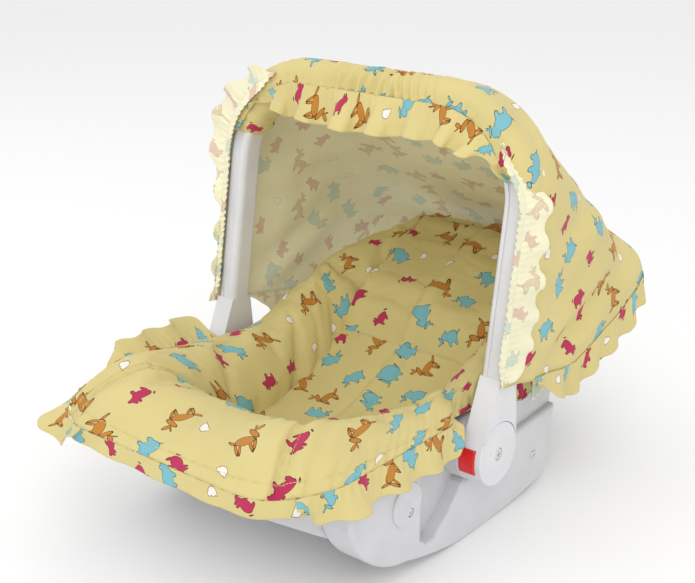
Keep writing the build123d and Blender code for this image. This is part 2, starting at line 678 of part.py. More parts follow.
# Label and write every piece ---------------------------------------------------------------------------
PIECES = {
    "seat_tub": seat_tub,
    "rocker_side_right": rocker_side_right,
    "rocker_side_left": rocker_side_left,
    "side_screws": side_screws,
    "ratchet_plate_right": ratchet_plate_right,
    "ratchet_plate_left": ratchet_plate_left,
    "pivot_screw_right": pivot_screw_right,
    "pivot_screw_left": pivot_screw_left,
    "pivot_nut_right": pivot_nut_right,
    "pivot_nut_left": pivot_nut_left,
    "handle_bow": handle_bow,
    "hub_cap_right": hub_cap_right,
    "hub_cap_left": hub_cap_left,
    "lock_button_right": lock_button_right,
    "lock_button_left": lock_button_left,
    "button_spring_right": button_spring_right,
    "button_spring_left": button_spring_left,
    "backrest_pad": backrest_pad,
    "seat_pad": seat_pad,
    "leg_rest_roll": leg_rest_roll,
    "bolster_right": bolster_right,
    "bolster_left": bolster_left,
    "side_frill_right": side_frill_right,
    "side_frill_left": side_frill_left,
    "front_apron": front_apron,
    "canopy_sheet": canopy_sheet,
    "canopy_roll": canopy_roll,
    "ruffle_right": ruffle_right,
    "ruffle_left": ruffle_left,
    "ruffle_top": ruffle_top,
    "hem_frill": hem_frill,
}
for name, piece in PIECES.items():
    piece.part.label = name
    export_step(piece.part, f"parts/{name}.step")
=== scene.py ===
"""Infant car seat: moulded shell, carry handle and sewn cotton cover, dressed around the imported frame.

Frame: +Z up, floor at Z = 0, foot end towards -Y, head end towards +Y. Sizes are in metres.
"""
import json
import logging
import math
from dataclasses import dataclass, field
from enum import Enum
from typing import Optional, Sequence

import bmesh
import bpy
import numpy as np
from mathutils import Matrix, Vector


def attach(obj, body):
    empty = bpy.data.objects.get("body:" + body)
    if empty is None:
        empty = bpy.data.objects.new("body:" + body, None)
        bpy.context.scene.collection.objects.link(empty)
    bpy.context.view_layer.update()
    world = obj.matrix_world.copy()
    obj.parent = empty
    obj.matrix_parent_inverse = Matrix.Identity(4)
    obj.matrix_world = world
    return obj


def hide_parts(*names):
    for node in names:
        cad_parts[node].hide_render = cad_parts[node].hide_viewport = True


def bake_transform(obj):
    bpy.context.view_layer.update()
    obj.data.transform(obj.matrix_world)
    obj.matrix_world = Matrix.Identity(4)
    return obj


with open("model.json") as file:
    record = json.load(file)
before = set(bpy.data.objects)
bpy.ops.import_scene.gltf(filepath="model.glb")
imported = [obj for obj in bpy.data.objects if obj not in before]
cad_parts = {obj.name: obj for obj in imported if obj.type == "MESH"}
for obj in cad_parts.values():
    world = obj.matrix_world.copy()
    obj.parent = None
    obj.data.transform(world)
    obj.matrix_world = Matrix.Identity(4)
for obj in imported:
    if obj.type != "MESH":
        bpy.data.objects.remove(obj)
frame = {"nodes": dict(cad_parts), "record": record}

LOG = logging.getLogger("infant_car_seat")
Points = np.ndarray
Colour = tuple[float, float, float]


class Side(str, Enum):
    """The occupant's two sides of the seat; the right one lies at positive X."""

    RIGHT = "right"
    LEFT = "left"


class Body(str, Enum):
    """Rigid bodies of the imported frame."""

    SEAT = "seat"
    HANDLE = "handle"
    BUTTON_RIGHT = "button_right"
    BUTTON_LEFT = "button_left"


# Shader nodes -----------------------------------------------------------------------------------
class NodeBench:
    """Short forms for making and joining shader nodes in one tree."""

    def __init__(self, tree: bpy.types.NodeTree) -> None:
        """Keep the tree that the nodes go into."""
        self.tree = tree

    def node(self, kind: str, values: Optional[dict] = None, **settings: object) -> bpy.types.Node:
        """Add a node.

        Args:
            kind: the node's class name.
            values: input values or sockets, by input name or index.
            settings: attributes of the node.

        Returns:
            The new node.
        """
        made = self.tree.nodes.new(kind)
        for name, value in settings.items():
            setattr(made, name, value)
        for name, value in (values or {}).items():
            self.feed(made.inputs[name], value)
        return made

    def feed(self, socket: bpy.types.NodeSocket, value: object) -> None:
        """Link a socket to another, or set its value."""
        if isinstance(value, bpy.types.NodeSocket):
            self.tree.links.new(value, socket)
        else:
            socket.default_value = value

    def sum(self, operation: str, *terms: object) -> bpy.types.NodeSocket:
        """One Math node's result."""
        return self.node("ShaderNodeMath", dict(enumerate(terms)), operation=operation).outputs[0]

    def vector(self, operation: str, *terms: object) -> bpy.types.NodeSocket:
        """One Vector Math node's vector result."""
        return self.node(
            "ShaderNodeVectorMath", dict(enumerate(terms)), operation=operation
        ).outputs[0]

    def mix(self, share: object, first: object, second: object) -> bpy.types.NodeSocket:
        """Mix of two colours by share."""
        made = self.node("ShaderNodeMix", data_type="RGBA")
        self.feed(made.inputs[0], share)
        self.feed(made.inputs[6], first)
        self.feed(made.inputs[7], second)
        return made.outputs[2]

    def remap(self, value: object, low: float, high: float, to: tuple = (0.0, 1.0)) -> bpy.types.NodeSocket:
        """Map Range with clamping."""
        return self.node(
            "ShaderNodeMapRange", {0: value, 1: low, 2: high, 3: to[0], 4: to[1]}
        ).outputs[0]


def rgba(colour: Colour) -> tuple[float, float, float, float]:
    """A colour with full alpha."""
    return (*colour, 1.0)


@dataclass(frozen=True)
class Blob:
    """One ellipse of a printed figure, in the figure's own units."""

    x: float
    y: float
    half_length: float
    half_width: float
    turn: float = 0.0


@dataclass(frozen=True)
class Figure:
    """One printed toy animal, built from ellipses."""

    blobs: tuple[Blob, ...]
    colour: Colour
    line: Colour
    size: float


ELEPHANT = Figure(
    blobs=(
        Blob(-0.05, 0.0, 0.58, 0.46),
        Blob(0.52, 0.20, 0.34, 0.32),
        Blob(0.90, -0.02, 0.11, 0.34, 24),
        Blob(1.08, -0.30, 0.16, 0.08, 30),
        Blob(-0.36, -0.46, 0.15, 0.30),
        Blob(0.20, -0.46, 0.15, 0.30),
        Blob(0.38, 0.50, 0.13, 0.16, 30),
        Blob(-0.66, 0.06, 0.05, 0.20, -40),
    ),
    colour=(0.19, 0.47, 0.54),
    line=(0.02, 0.07, 0.09),
    size=0.0185,
)
PONY = Figure(
    blobs=(
        Blob(0.0, 0.0, 0.56, 0.27, 6),
        Blob(0.50, 0.34, 0.15, 0.42, -28),
        Blob(0.76, 0.62, 0.27, 0.13, -18),
        Blob(0.60, 0.82, 0.05, 0.14, 12),
        Blob(-0.46, -0.38, 0.09, 0.38, -10),
        Blob(-0.26, -0.42, 0.08, 0.34, 10),
        Blob(0.30, -0.42, 0.08, 0.38, -8),
        Blob(0.48, -0.36, 0.08, 0.36, 16),
        Blob(-0.70, 0.10, 0.09, 0.32, -48),
    ),
    colour=(0.52, 0.21, 0.030),
    line=(0.07, 0.018, 0.006),
    size=0.0205,
)
LAMB = Figure(
    blobs=(
        Blob(0.0, 0.0, 0.52, 0.36, -8),
        Blob(0.48, 0.18, 0.28, 0.26),
        Blob(0.76, 0.12, 0.12, 0.14),
        Blob(0.36, 0.46, 0.09, 0.15, 20),
        Blob(0.60, 0.44, 0.08, 0.14, -20),
        Blob(-0.34, -0.36, 0.12, 0.24, -14),
        Blob(0.24, -0.38, 0.12, 0.24, 14),
        Blob(-0.58, 0.18, 0.05, 0.16, 36),
    ),
    colour=(0.48, 0.028, 0.10),
    line=(0.13, 0.006, 0.02),
    size=0.0170,
)
CHICK = Figure(
    blobs=(
        Blob(0.0, 0.0, 0.46, 0.36),
        Blob(0.30, 0.24, 0.22, 0.21),
        Blob(-0.42, 0.12, 0.16, 0.10, 30),
    ),
    colour=(0.83, 0.79, 0.72),
    line=(0.16, 0.02, 0.012),
    size=0.0135,
)


class AnimalPrint:
    """Scattered toy animals as a node group: each cell of a loose grid holds one turned figure."""

    SPACING = 0.050
    LOOSENESS = 0.42
    LINE_WIDTH = 0.00055
    BREAKS = (0.30, 0.62, 0.87)

    def __init__(self) -> None:
        """Build the ellipse group first, then the print group."""
        self.ellipse = self._ellipse_group()
        self.group = self._print_group()

    def _ellipse_group(self) -> bpy.types.NodeTree:
        """Distance from an ellipse's edge, in the figure's units."""
        tree = bpy.data.node_groups.new("printed_ellipse", "ShaderNodeTree")
        for name in ("Point", "Centre", "Radii"):
            tree.interface.new_socket(name, in_out="INPUT", socket_type="NodeSocketVector")
        for name in ("Turn", "Reach"):
            tree.interface.new_socket(name, in_out="INPUT", socket_type="NodeSocketFloat")
        tree.interface.new_socket("Distance", in_out="OUTPUT", socket_type="NodeSocketFloat")
        bench = NodeBench(tree)
        given = bench.node("NodeGroupInput")
        shifted = bench.vector("SUBTRACT", given.outputs["Point"], given.outputs["Centre"])
        turned = bench.node(
            "ShaderNodeVectorRotate",
            {"Vector": shifted, "Angle": given.outputs["Turn"]},
            rotation_type="Z_AXIS",
        ).outputs[0]
        scaled = bench.vector("DIVIDE", turned, given.outputs["Radii"])
        length = bench.node("ShaderNodeVectorMath", {0: scaled}, operation="LENGTH").outputs[1]
        distance = bench.sum("MULTIPLY", bench.sum("SUBTRACT", length, 1.0), given.outputs["Reach"])
        bench.node("NodeGroupOutput", {"Distance": distance})
        return tree

    def _figure(self, bench: NodeBench, point: bpy.types.NodeSocket, figure: Figure) -> bpy.types.NodeSocket:
        """Distance in metres from a figure's outline, negative inside."""
        unit_point = bench.vector("DIVIDE", point, (figure.size, figure.size, 1.0))
        nearest = None
        for blob in figure.blobs:
            made = bench.node("ShaderNodeGroup", node_tree=self.ellipse)
            bench.feed(made.inputs["Point"], unit_point)
            made.inputs["Centre"].default_value = (blob.x, blob.y, 0.0)
            made.inputs["Radii"].default_value = (blob.half_length, blob.half_width, 1.0)
            made.inputs["Turn"].default_value = math.radians(blob.turn)
            made.inputs["Reach"].default_value = min(blob.half_length, blob.half_width)
            edge = made.outputs[0]
            nearest = edge if nearest is None else bench.sum("MINIMUM", nearest, edge)
        return bench.sum("MULTIPLY", nearest, figure.size)

    def _print_group(self) -> bpy.types.NodeTree:
        """Colour and cover of the print at a point of the cloth."""
        tree = bpy.data.node_groups.new("animal_print", "ShaderNodeTree")
        tree.interface.new_socket("Cloth", in_out="INPUT", socket_type="NodeSocketVector")
        tree.interface.new_socket("Colour", in_out="OUTPUT", socket_type="NodeSocketColor")
        tree.interface.new_socket("Cover", in_out="OUTPUT", socket_type="NodeSocketFloat")
        bench = NodeBench(tree)
        given = bench.node("NodeGroupInput")
        cells = bench.node(
            "ShaderNodeTexVoronoi",
            {"Vector": given.outputs[0], "Scale": 1.0 / self.SPACING, "Randomness": self.LOOSENESS},
            voronoi_dimensions="2D",
        )
        centre = cells.outputs["Position"]
        chance = bench.node("ShaderNodeSeparateColor", {0: cells.outputs["Color"]})
        offset = bench.vector("SUBTRACT", given.outputs[0], centre)
        turned = bench.node(
            "ShaderNodeVectorRotate",
            {"Vector": offset, "Angle": bench.sum("MULTIPLY", chance.outputs[0], math.tau)},
            rotation_type="Z_AXIS",
        ).outputs[0]
        colour, cover = None, None
        pick = chance.outputs[1]
        for index, figure in enumerate((ELEPHANT, PONY, LAMB, CHICK)):
            distance = self._figure(bench, turned, figure)
            inside = bench.remap(distance, 0.0001, -0.0001)
            line = bench.remap(distance, -self.LINE_WIDTH * 1.3, -self.LINE_WIDTH * 0.7)
            paint = bench.mix(line, rgba(figure.colour), rgba(figure.line))
            if index == 0:
                colour, cover = paint, inside
                continue
            chosen = bench.sum("GREATER_THAN", pick, self.BREAKS[index - 1])
            colour = bench.mix(chosen, colour, paint)
            cover = bench.node("ShaderNodeMix", {0: chosen, 2: cover, 3: inside}).outputs[0]
        bench.node("NodeGroupOutput", {"Colour": colour, "Cover": cover})
        return tree


@dataclass(frozen=True)
class Cotton:
    """Plain-weave cotton with the animal print; the wrong side shows it faded, partly as the cloth's own back
    and partly as painted light shining through the cloth.
    """

    name: str
    base: Colour
    print_strength: float
    roughness: float = 0.86
    sheen: float = 0.10
    thread: float = 0.0006

    def build(self, pattern: AnimalPrint) -> bpy.types.Material:
        """Make the material.

        Args:
            pattern: the print's node group.

        Returns:
            The cotton, which reads the piece's "cloth" UV map in metres.
        """
        made = bpy.data.materials.new(self.name)
        made.use_nodes = True
        bench = NodeBench(made.node_tree)
        shader = made.node_tree.nodes["Principled BSDF"]
        shader.inputs["Roughness"].default_value = self.roughness
        shader.inputs["Sheen Weight"].default_value = self.sheen
        shader.inputs["Sheen Roughness"].default_value = 0.5
        shader.inputs["Specular IOR Level"].default_value = 0.25
        cloth = bench.node("ShaderNodeUVMap", uv_map="cloth").outputs[0]
        motif = bench.node("ShaderNodeGroup", {0: cloth}, node_tree=pattern.group)
        drift = bench.node("ShaderNodeTexNoise", {"Vector": cloth, "Scale": 9.0, "Detail": 3.0})
        shade = bench.remap(drift.outputs[0], 0.3, 0.7, (0.95, 1.05))
        tinted = bench.vector("SCALE", rgba(self.base)[:3])
        scale_node = tinted.node
        bench.feed(scale_node.inputs["Scale"], shade)
        strength = bench.sum("MULTIPLY", motif.outputs["Cover"], self.print_strength)
        bench.feed(shader.inputs["Base Color"], bench.mix(strength, tinted, motif.outputs["Colour"]))
        bench.feed(shader.inputs["Normal"], self._weave(bench, cloth))
        return made

    def _weave(self, bench: NodeBench, cloth: bpy.types.NodeSocket) -> bpy.types.NodeSocket:
        """Bump of the crossing threads over a faint crumple."""
        scale = math.tau / (20 * self.thread)
        waves = [
            bench.node(
                "ShaderNodeTexWave", {"Vector": cloth, "Scale": scale}, bands_direction=direction
            ).outputs[1]
            for direction in ("X", "Y")
        ]
        threads = bench.sum("MULTIPLY", waves[0], waves[1])
        crumple = bench.node("ShaderNodeTexNoise", {"Vector": cloth, "Scale": 45.0, "Detail": 4.0})
        soft = bench.node(
            "ShaderNodeBump", {"Height": crumple.outputs[0], "Strength": 0.35, "Distance": 0.003}
        )
        return bench.node(
            "ShaderNodeBump",
            {"Height": threads, "Strength": 0.25, "Distance": 0.0002, "Normal": soft.outputs[0]},
        ).outputs[0]


@dataclass(frozen=True)
class Moulding:
    """Injection-moulded plastic with a fine orange-peel skin and faint handling marks."""

    name: str
    base: Colour
    roughness: float
    coat: float = 0.0

    def build(self) -> bpy.types.Material:
        """Make the plastic on Object coordinates."""
        made = bpy.data.materials.new(self.name)
        made.use_nodes = True
        bench = NodeBench(made.node_tree)
        shader = made.node_tree.nodes["Principled BSDF"]
        shader.inputs["Coat Weight"].default_value = self.coat
        shader.inputs["Coat Roughness"].default_value = 0.12
        place = bench.node("ShaderNodeTexCoord").outputs["Object"]
        marks = bench.node("ShaderNodeTexNoise", {"Vector": place, "Scale": 22.0, "Detail": 5.0})
        tone = bench.remap(marks.outputs[0], 0.35, 0.7)
        worn = tuple(0.93 * part for part in self.base)
        bench.feed(shader.inputs["Base Color"], bench.mix(tone, rgba(self.base), rgba(worn)))
        bench.feed(
            shader.inputs["Roughness"],
            bench.remap(marks.outputs[0], 0.3, 0.7, (self.roughness * 0.85, self.roughness * 1.2)),
        )
        skin = bench.node("ShaderNodeTexNoise", {"Vector": place, "Scale": 420.0, "Detail": 2.0})
        bump = bench.node(
            "ShaderNodeBump", {"Height": skin.outputs[0], "Strength": 0.12, "Distance": 0.0004}
        )
        bench.feed(shader.inputs["Normal"], bump.outputs[0])
        return made


@dataclass(frozen=True)
class Metal:
    """Plated or zinc-coated steel with fine turning marks."""

    name: str
    base: Colour
    roughness: float

    def build(self) -> bpy.types.Material:
        """Make the metal on Object coordinates."""
        made = bpy.data.materials.new(self.name)
        made.use_nodes = True
        bench = NodeBench(made.node_tree)
        shader = made.node_tree.nodes["Principled BSDF"]
        shader.inputs["Metallic"].default_value = 1.0
        shader.inputs["Base Color"].default_value = rgba(self.base)
        place = bench.node("ShaderNodeTexCoord").outputs["Object"]
        grain = bench.node("ShaderNodeTexNoise", {"Vector": place, "Scale": 900.0, "Detail": 3.0})
        bench.feed(
            shader.inputs["Roughness"],
            bench.remap(grain.outputs[0], 0.3, 0.7, (self.roughness * 0.7, self.roughness * 1.4)),
        )
        return made


@dataclass
class Wardrobe:
    """Every finish of the seat, built once."""

    print_side: bpy.types.Material = field(init=False)
    back_with_painted_light: bpy.types.Material = field(init=False)
    shell_white: bpy.types.Material = field(init=False)
    handle_white: bpy.types.Material = field(init=False)
    button_red: bpy.types.Material = field(init=False)
    screw_steel: bpy.types.Material = field(init=False)
    zinc_plate: bpy.types.Material = field(init=False)
    thread: bpy.types.Material = field(init=False)

    def __post_init__(self) -> None:
        """Build the materials."""
        pattern = AnimalPrint()
        self.print_side = Cotton("printed_cotton", (0.65, 0.55, 0.235), 1.0).build(pattern)
        # The cloth's back: its pale base and faded print are partly the wrong side's own colour and partly
        # painted light, standing in for light shining through the cloth.
        self.back_with_painted_light = Cotton("cotton_wrong_side", (0.84, 0.80, 0.57), 0.36).build(pattern)
        self.shell_white = Moulding("shell_white", (0.63, 0.63, 0.65), 0.36).build()
        self.handle_white = Moulding("handle_white", (0.70, 0.70, 0.72), 0.32).build()
        self.button_red = Moulding("button_red", (0.72, 0.008, 0.008), 0.26, 0.4).build()
        self.screw_steel = Metal("screw_steel", (0.72, 0.72, 0.74), 0.18).build()
        self.zinc_plate = Metal("zinc_plate", (0.60, 0.61, 0.63), 0.38).build()
        self.thread = Moulding("sewing_thread", (0.70, 0.60, 0.27), 0.75).build()


# Cloth meshes ---------------------------------------------------------------------------------------
def placed(name: str, data: bpy.types.ID) -> bpy.types.Object:
    """Put a mesh, lamp or camera into the scene under a name."""
    made = bpy.data.objects.new(name, data)
    bpy.context.scene.collection.objects.link(made)
    return made


def unit(vectors: Points) -> Points:
    """Vectors of length one, along the last axis."""
    return vectors / np.linalg.norm(vectors, axis=-1, keepdims=True)


def run_along(line: Points) -> Points:
    """Distance of every point from the first one, along a line of points."""
    return np.concatenate([[0.0], np.cumsum(np.linalg.norm(np.diff(line, axis=0), axis=1))])


def net_quads(index: Points) -> Points:
    """Quads between neighbours of a grid of point numbers."""
    return np.stack([index[:-1, :-1], index[1:, :-1], index[1:, 1:], index[:-1, 1:]], axis=2).reshape(-1, 4)


def cloth_mesh(
    name: str, points: Points, quads: Points, corners: Points, materials: Sequence[bpy.types.Material]
) -> bpy.types.Object:
    """Make a smooth-shaded cloth object.

    Args:
        name: the piece's name.
        points: every point, in metres.
        quads: point numbers of each quad.
        corners: flat place of every quad's corner, kept as the UV map "cloth".
        materials: the object's material slots.

    Returns:
        The object, in the scene.
    """
    data = bpy.data.meshes.new(name)
    data.from_pydata(points.reshape(-1, 3).tolist(), [], quads.tolist())
    data.uv_layers.new(name="cloth").data.foreach_set("uv", corners.ravel())
    data.polygons.foreach_set("use_smooth", [True] * len(data.polygons))
    for material in materials:
        data.materials.append(material)
    return placed(name, data)


def ease(share: Points) -> Points:
    """Smooth step of a share from 0 to 1."""
    share = np.clip(share, 0.0, 1.0)
    return share * share * (3 - 2 * share)


def through(knots: Sequence[tuple[float, float]], at: Points) -> Points:
    """Smooth curve through knots (place, value), read at the given places."""
    place, value = (np.array(column, float) for column in zip(*knots))
    slope = np.gradient(value, place)
    at = np.clip(at, place[0], place[-1])
    index = np.clip(np.searchsorted(place, at, side="right") - 1, 0, len(place) - 2)
    gap = place[index + 1] - place[index]
    t = (at - place[index]) / gap
    return (
        (2 * t**3 - 3 * t**2 + 1) * value[index]
        + (t**3 - 2 * t**2 + t) * gap * slope[index]
        + (3 * t**2 - 2 * t**3) * value[index + 1]
        + (t**3 - t**2) * gap * slope[index + 1]
    )


def wander(seed: int, at: Points, wavelength: float) -> Points:
    """Smooth seeded wandering value, about -1 to 1, along a line."""
    draw = np.random.default_rng(seed)
    steps = int(np.ceil(float(np.max(at) - np.min(at)) / wavelength)) + 4
    knots = draw.uniform(-1, 1, steps + 1)
    places = np.min(at) + wavelength * (np.arange(steps + 1) - 1)
    return through(list(zip(places, knots)), at)


CRUMPLE_WAVES = 9
CRUMPLE_SPAN = 3.6


def crumple(seed: int, across: Points, along: Points, size: tuple[float, float]) -> Points:
    """Smooth seeded height field over a grid of cloth places, about -1 to 1.

    Args:
        seed: the draw's seed.
        across: first cloth place of every point.
        along: second cloth place of every point.
        size: width and length of a typical fold.

    Returns:
        The height at every point.
    """
    draw = np.random.default_rng(seed)
    height = np.zeros_like(across)
    for _ in range(CRUMPLE_WAVES):
        turn = draw.normal(0, 0.35)
        shift = draw.uniform(0, math.tau)
        stretch = draw.uniform(0.7, 1.5)
        phase = (np.cos(turn) * across / size[0] + np.sin(turn) * along / size[1]) * math.tau / stretch
        slow = np.sin(along / size[1] * math.tau / draw.uniform(1.5, 3) + draw.uniform(0, math.tau))
        height += np.sin(phase + shift) * slow
    return height / CRUMPLE_SPAN


class Cut(Enum):
    """How a net's flat places are worked out."""

    EVEN = "even"
    HEMMED = "hemmed"
    CENTRED = "centred"


def cloth_lengths(grid: Points, cut: Cut) -> tuple[Points, Points]:
    """Cloth places of a net of points, in metres, along its columns and along its rows.

    Args:
        grid: array of shape (rows, columns, 3).
        cut: even takes mean lengths, hemmed takes the last row's length, and centred measures
            each row from its middle.

    Returns:
        Place down the columns and place along the rows, for every point.
    """
    steps_down = np.linalg.norm(np.diff(grid, axis=0), axis=2).mean(axis=1)
    steps_along = np.linalg.norm(np.diff(grid, axis=1), axis=2)
    down = np.concatenate([[0.0], np.cumsum(steps_down)])
    if cut is Cut.CENTRED:
        along = np.concatenate([np.zeros((len(grid), 1)), np.cumsum(steps_along, axis=1)], axis=1)
        along -= along[:, along.shape[1] // 2][:, None]
        return np.broadcast_to(down[:, None], along.shape), along
    step = steps_along[-1] if cut is Cut.HEMMED else steps_along.mean(axis=0)
    along = np.concatenate([[0.0], np.cumsum(step)])
    return np.meshgrid(down, along, indexing="ij")


class ClothGrid:
    """A rectangular net of cloth: points[row, column] in metres, with its flat places as UVs."""

    def __init__(
        self, name: str, points: Points, origin: tuple[float, float] = (0.0, 0.0), cut: Cut = Cut.EVEN
    ) -> None:
        """Keep the net and work out its flat places.

        Args:
            name: the piece's name.
            points: array of shape (rows, columns, 3).
            origin: cloth place of the first point, so that neighbours show different figures.
            cut: how the flat places are worked out.
        """
        self.name = name
        self.points = points
        first, second = cloth_lengths(points, cut)
        self.places = np.stack([first + origin[0], second + origin[1]], axis=2)

    @property
    def flat(self) -> tuple[float, float]:
        """Width and length of the cloth."""
        span = np.ptp(self.places.reshape(-1, 2), axis=0)
        return float(span[1]), float(span[0])

    @property
    def area(self) -> float:
        """Area of the net."""
        down = np.diff(self.points, axis=0)[:, :-1]
        along = np.diff(self.points, axis=1)[:-1]
        return float(np.linalg.norm(np.cross(down, along), axis=2).sum())

    def part(self, name: str, first: int, last: int) -> "ClothGrid":
        """The stretch of the net from one column to another."""
        piece = ClothGrid.__new__(ClothGrid)
        piece.name = name
        piece.points = self.points[:, first : last + 1]
        piece.places = self.places[:, first : last + 1]
        return piece

    def normals(self) -> Points:
        """Unit normals of the net."""
        down = np.gradient(self.points, axis=0)
        over = np.gradient(self.points, axis=1)
        cross = np.cross(down, over)
        return cross / np.maximum(np.linalg.norm(cross, axis=2, keepdims=True), 1e-12)

    def lift(self, height: Points) -> None:
        """Move every point along its normal."""
        self.points = self.points + self.normals() * height[..., None]

    def mesh(self, materials: Sequence[bpy.types.Material]) -> bpy.types.Object:
        """Make the net as an object.

        Args:
            materials: the object's material slots.

        Returns:
            A smooth-shaded grid mesh with the UV map "cloth".
        """
        rows, columns = self.points.shape[:2]
        quads = net_quads(np.arange(rows * columns).reshape(rows, columns))
        return cloth_mesh(self.name, self.points, quads, self.places.reshape(-1, 2)[quads], materials)


def finish_sheet(piece: bpy.types.Object, thickness: float = 0.0010) -> None:
    """Smooth a net and give it the cloth's thickness; its back takes the second material slot."""
    smooth = piece.modifiers.new("smooth", "SUBSURF")
    smooth.levels = smooth.render_levels = 1
    wall = piece.modifiers.new("thickness", "SOLIDIFY")
    wall.thickness = thickness
    wall.offset = -1.0
    wall.use_rim = True
    wall.material_offset = 1
    bake_modifiers(piece)


def smooth_pad(piece: bpy.types.Object, node: str, body: Body) -> bpy.types.Object:
    """Round a closed pad off, attach it to its body and hide the node that it stands for."""
    smooth = piece.modifiers.new("smooth", "SUBSURF")
    smooth.levels = smooth.render_levels = 1
    bake_modifiers(piece)
    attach(piece, body.value)
    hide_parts(node)
    return piece


def bake_modifiers(piece: bpy.types.Object) -> None:
    """Turn a piece's modifiers into plain mesh."""
    graph = bpy.context.evaluated_depsgraph_get()
    data = bpy.data.meshes.new_from_object(
        piece.evaluated_get(graph), preserve_all_data_layers=True, depsgraph=graph
    )
    piece.modifiers.clear()
    piece.data = data
    piece.data.name = piece.name


@dataclass(frozen=True)
class Stuffing:
    """How a stuffed net swells between its seams."""

    pressure: float = 4.0
    slack: float = 0.04
    cap: float = 0.012
    frames: int = 18
    stiffness: float = 8.0


def swell(grid: ClothGrid, pinned: Points, stuffing: Stuffing) -> None:
    """Let a net swell under pressure between its pinned seams by cloth simulation.

    Args:
        grid: the net, changed in place.
        pinned: how firmly each point is held, from 0 to 1.
        stuffing: pressure, slack and limits.
    """
    start = grid.points.copy()
    piece = grid.mesh([])
    group = piece.vertex_groups.new(name="seams")
    flat_pins = pinned.ravel()
    for index in np.nonzero(flat_pins > 0)[0]:
        group.add([int(index)], float(flat_pins[index]), "REPLACE")
    modifier = piece.modifiers.new("cloth", "CLOTH")
    settings = modifier.settings
    settings.quality = 5
    settings.mass = 0.15
    settings.tension_stiffness = stuffing.stiffness
    settings.compression_stiffness = stuffing.stiffness
    settings.shear_stiffness = stuffing.stiffness / 2
    settings.bending_stiffness = 0.12
    settings.air_damping = 2.0
    settings.use_pressure = True
    settings.uniform_pressure_force = stuffing.pressure
    settings.shrink_min = -stuffing.slack
    settings.vertex_group_mass = "seams"
    settings.effector_weights.gravity = 0.0
    modifier.collision_settings.use_collision = False
    modifier.point_cache.frame_start = 1
    modifier.point_cache.frame_end = stuffing.frames
    scene = bpy.context.scene
    for number in range(1, stuffing.frames + 1):
        scene.frame_set(number)
    graph = bpy.context.evaluated_depsgraph_get()
    result = piece.evaluated_get(graph).to_mesh()
    places = np.zeros(len(result.vertices) * 3)
    result.vertices.foreach_get("co", places)
    piece.evaluated_get(graph).to_mesh_clear()
    bpy.data.objects.remove(piece)
    scene.frame_set(1)
    move = places.reshape(start.shape) - start
    length = np.linalg.norm(move, axis=2, keepdims=True)
    grid.points = start + move * np.minimum(1.0, stuffing.cap / np.maximum(length, 1e-9))


def close_pad(grid: ClothGrid, depth: float, material: bpy.types.Material) -> bpy.types.Object:
    """Close a swollen net with an underside, so that it is a stuffed piece.

    Args:
        grid: the upper side.
        depth: thickness of the pad.
        material: its cloth.

    Returns:
        The closed pad.
    """
    rows, columns = grid.points.shape[:2]
    under = grid.points - grid.normals() * depth
    top = np.arange(rows * columns).reshape(rows, columns)
    low = top + rows * columns
    faces = [net_quads(top), net_quads(low)[:, ::-1]]
    for edge_top, edge_low in (
        (top[0, ::-1], low[0, ::-1]),
        (top[-1], low[-1]),
        (top[:, 0], low[:, 0]),
        (top[::-1, -1], low[::-1, -1]),
    ):
        faces.append(np.stack([edge_top[:-1], edge_low[:-1], edge_low[1:], edge_top[1:]], 1)[:, ::-1])
    quads = np.concatenate(faces)
    points = np.concatenate([grid.points.reshape(-1, 3), under.reshape(-1, 3)])
    places = np.concatenate([grid.places.reshape(-1, 2)] * 2)
    return cloth_mesh(grid.name, points, quads, places[quads], [material])


# The sewn cover -------------------------------------------------------------------------------------
@dataclass(frozen=True)
class RimPath:
    """One line round the foot end of the cover, from the right shoulder to the left shoulder."""

    half: float
    front: float
    corner: float
    rear: float
    rear_half: float

    SHARES = (0.37, 0.455)
    TAPER_START = 0.130

    def at(self, share: Points) -> Points:
        """Plan places on the line.

        Args:
            share: places along the line, from 0 to 1.

        Returns:
            Array of (x, y).
        """
        side_end, bend_end = self.SHARES
        mirrored = share > 0.5
        near = np.where(mirrored, 1 - share, share)
        along = np.clip(near / side_end, 0, 1)
        y_side = self.rear + (self.front + self.corner - self.rear) * along
        taper = ease((y_side - self.TAPER_START) / (self.rear - self.TAPER_START))
        x_side = self.half - (self.half - self.rear_half) * taper
        turn = np.clip((near - side_end) / (bend_end - side_end), 0, 1) * math.pi / 2
        x_bend = self.half - self.corner + self.corner * np.cos(turn)
        y_bend = self.front + self.corner - self.corner * np.sin(turn)
        straight = np.clip((near - bend_end) / (0.5 - bend_end), 0, 1)
        x_front = (self.half - self.corner) * (1 - straight)
        x = np.where(near < side_end, x_side, np.where(near < bend_end, x_bend, x_front))
        y = np.where(near < side_end, y_side, np.where(near < bend_end, y_bend, self.front))
        return np.stack([np.where(mirrored, -x, x), y], axis=-1)


@dataclass(frozen=True)
class Gather:
    """How a gathered strip waves.

    The strip is width wide. Its free edge swings by wave over every wavelength, leans out by flare times
    its width, and its seam is drawn into small pleats, tucks of them in a wavelength. It narrows over the
    distance called ends, down to end_share. The waves' places, sizes and reach differ by drift,
    size_spread and reach_spread, and their crests roll over sideways by roll.
    """

    width: float
    wave: float
    wavelength: float
    flare: float = 0.0
    pleat: float = 0.0012
    seed: int = 1
    rows: int = 12
    ends: float = 0.030
    end_share: float = 0.15
    tucks: int = 5
    drift: float = 1.6
    size_spread: float = 0.45
    reach_spread: float = 0.10
    roll: float = 0.30


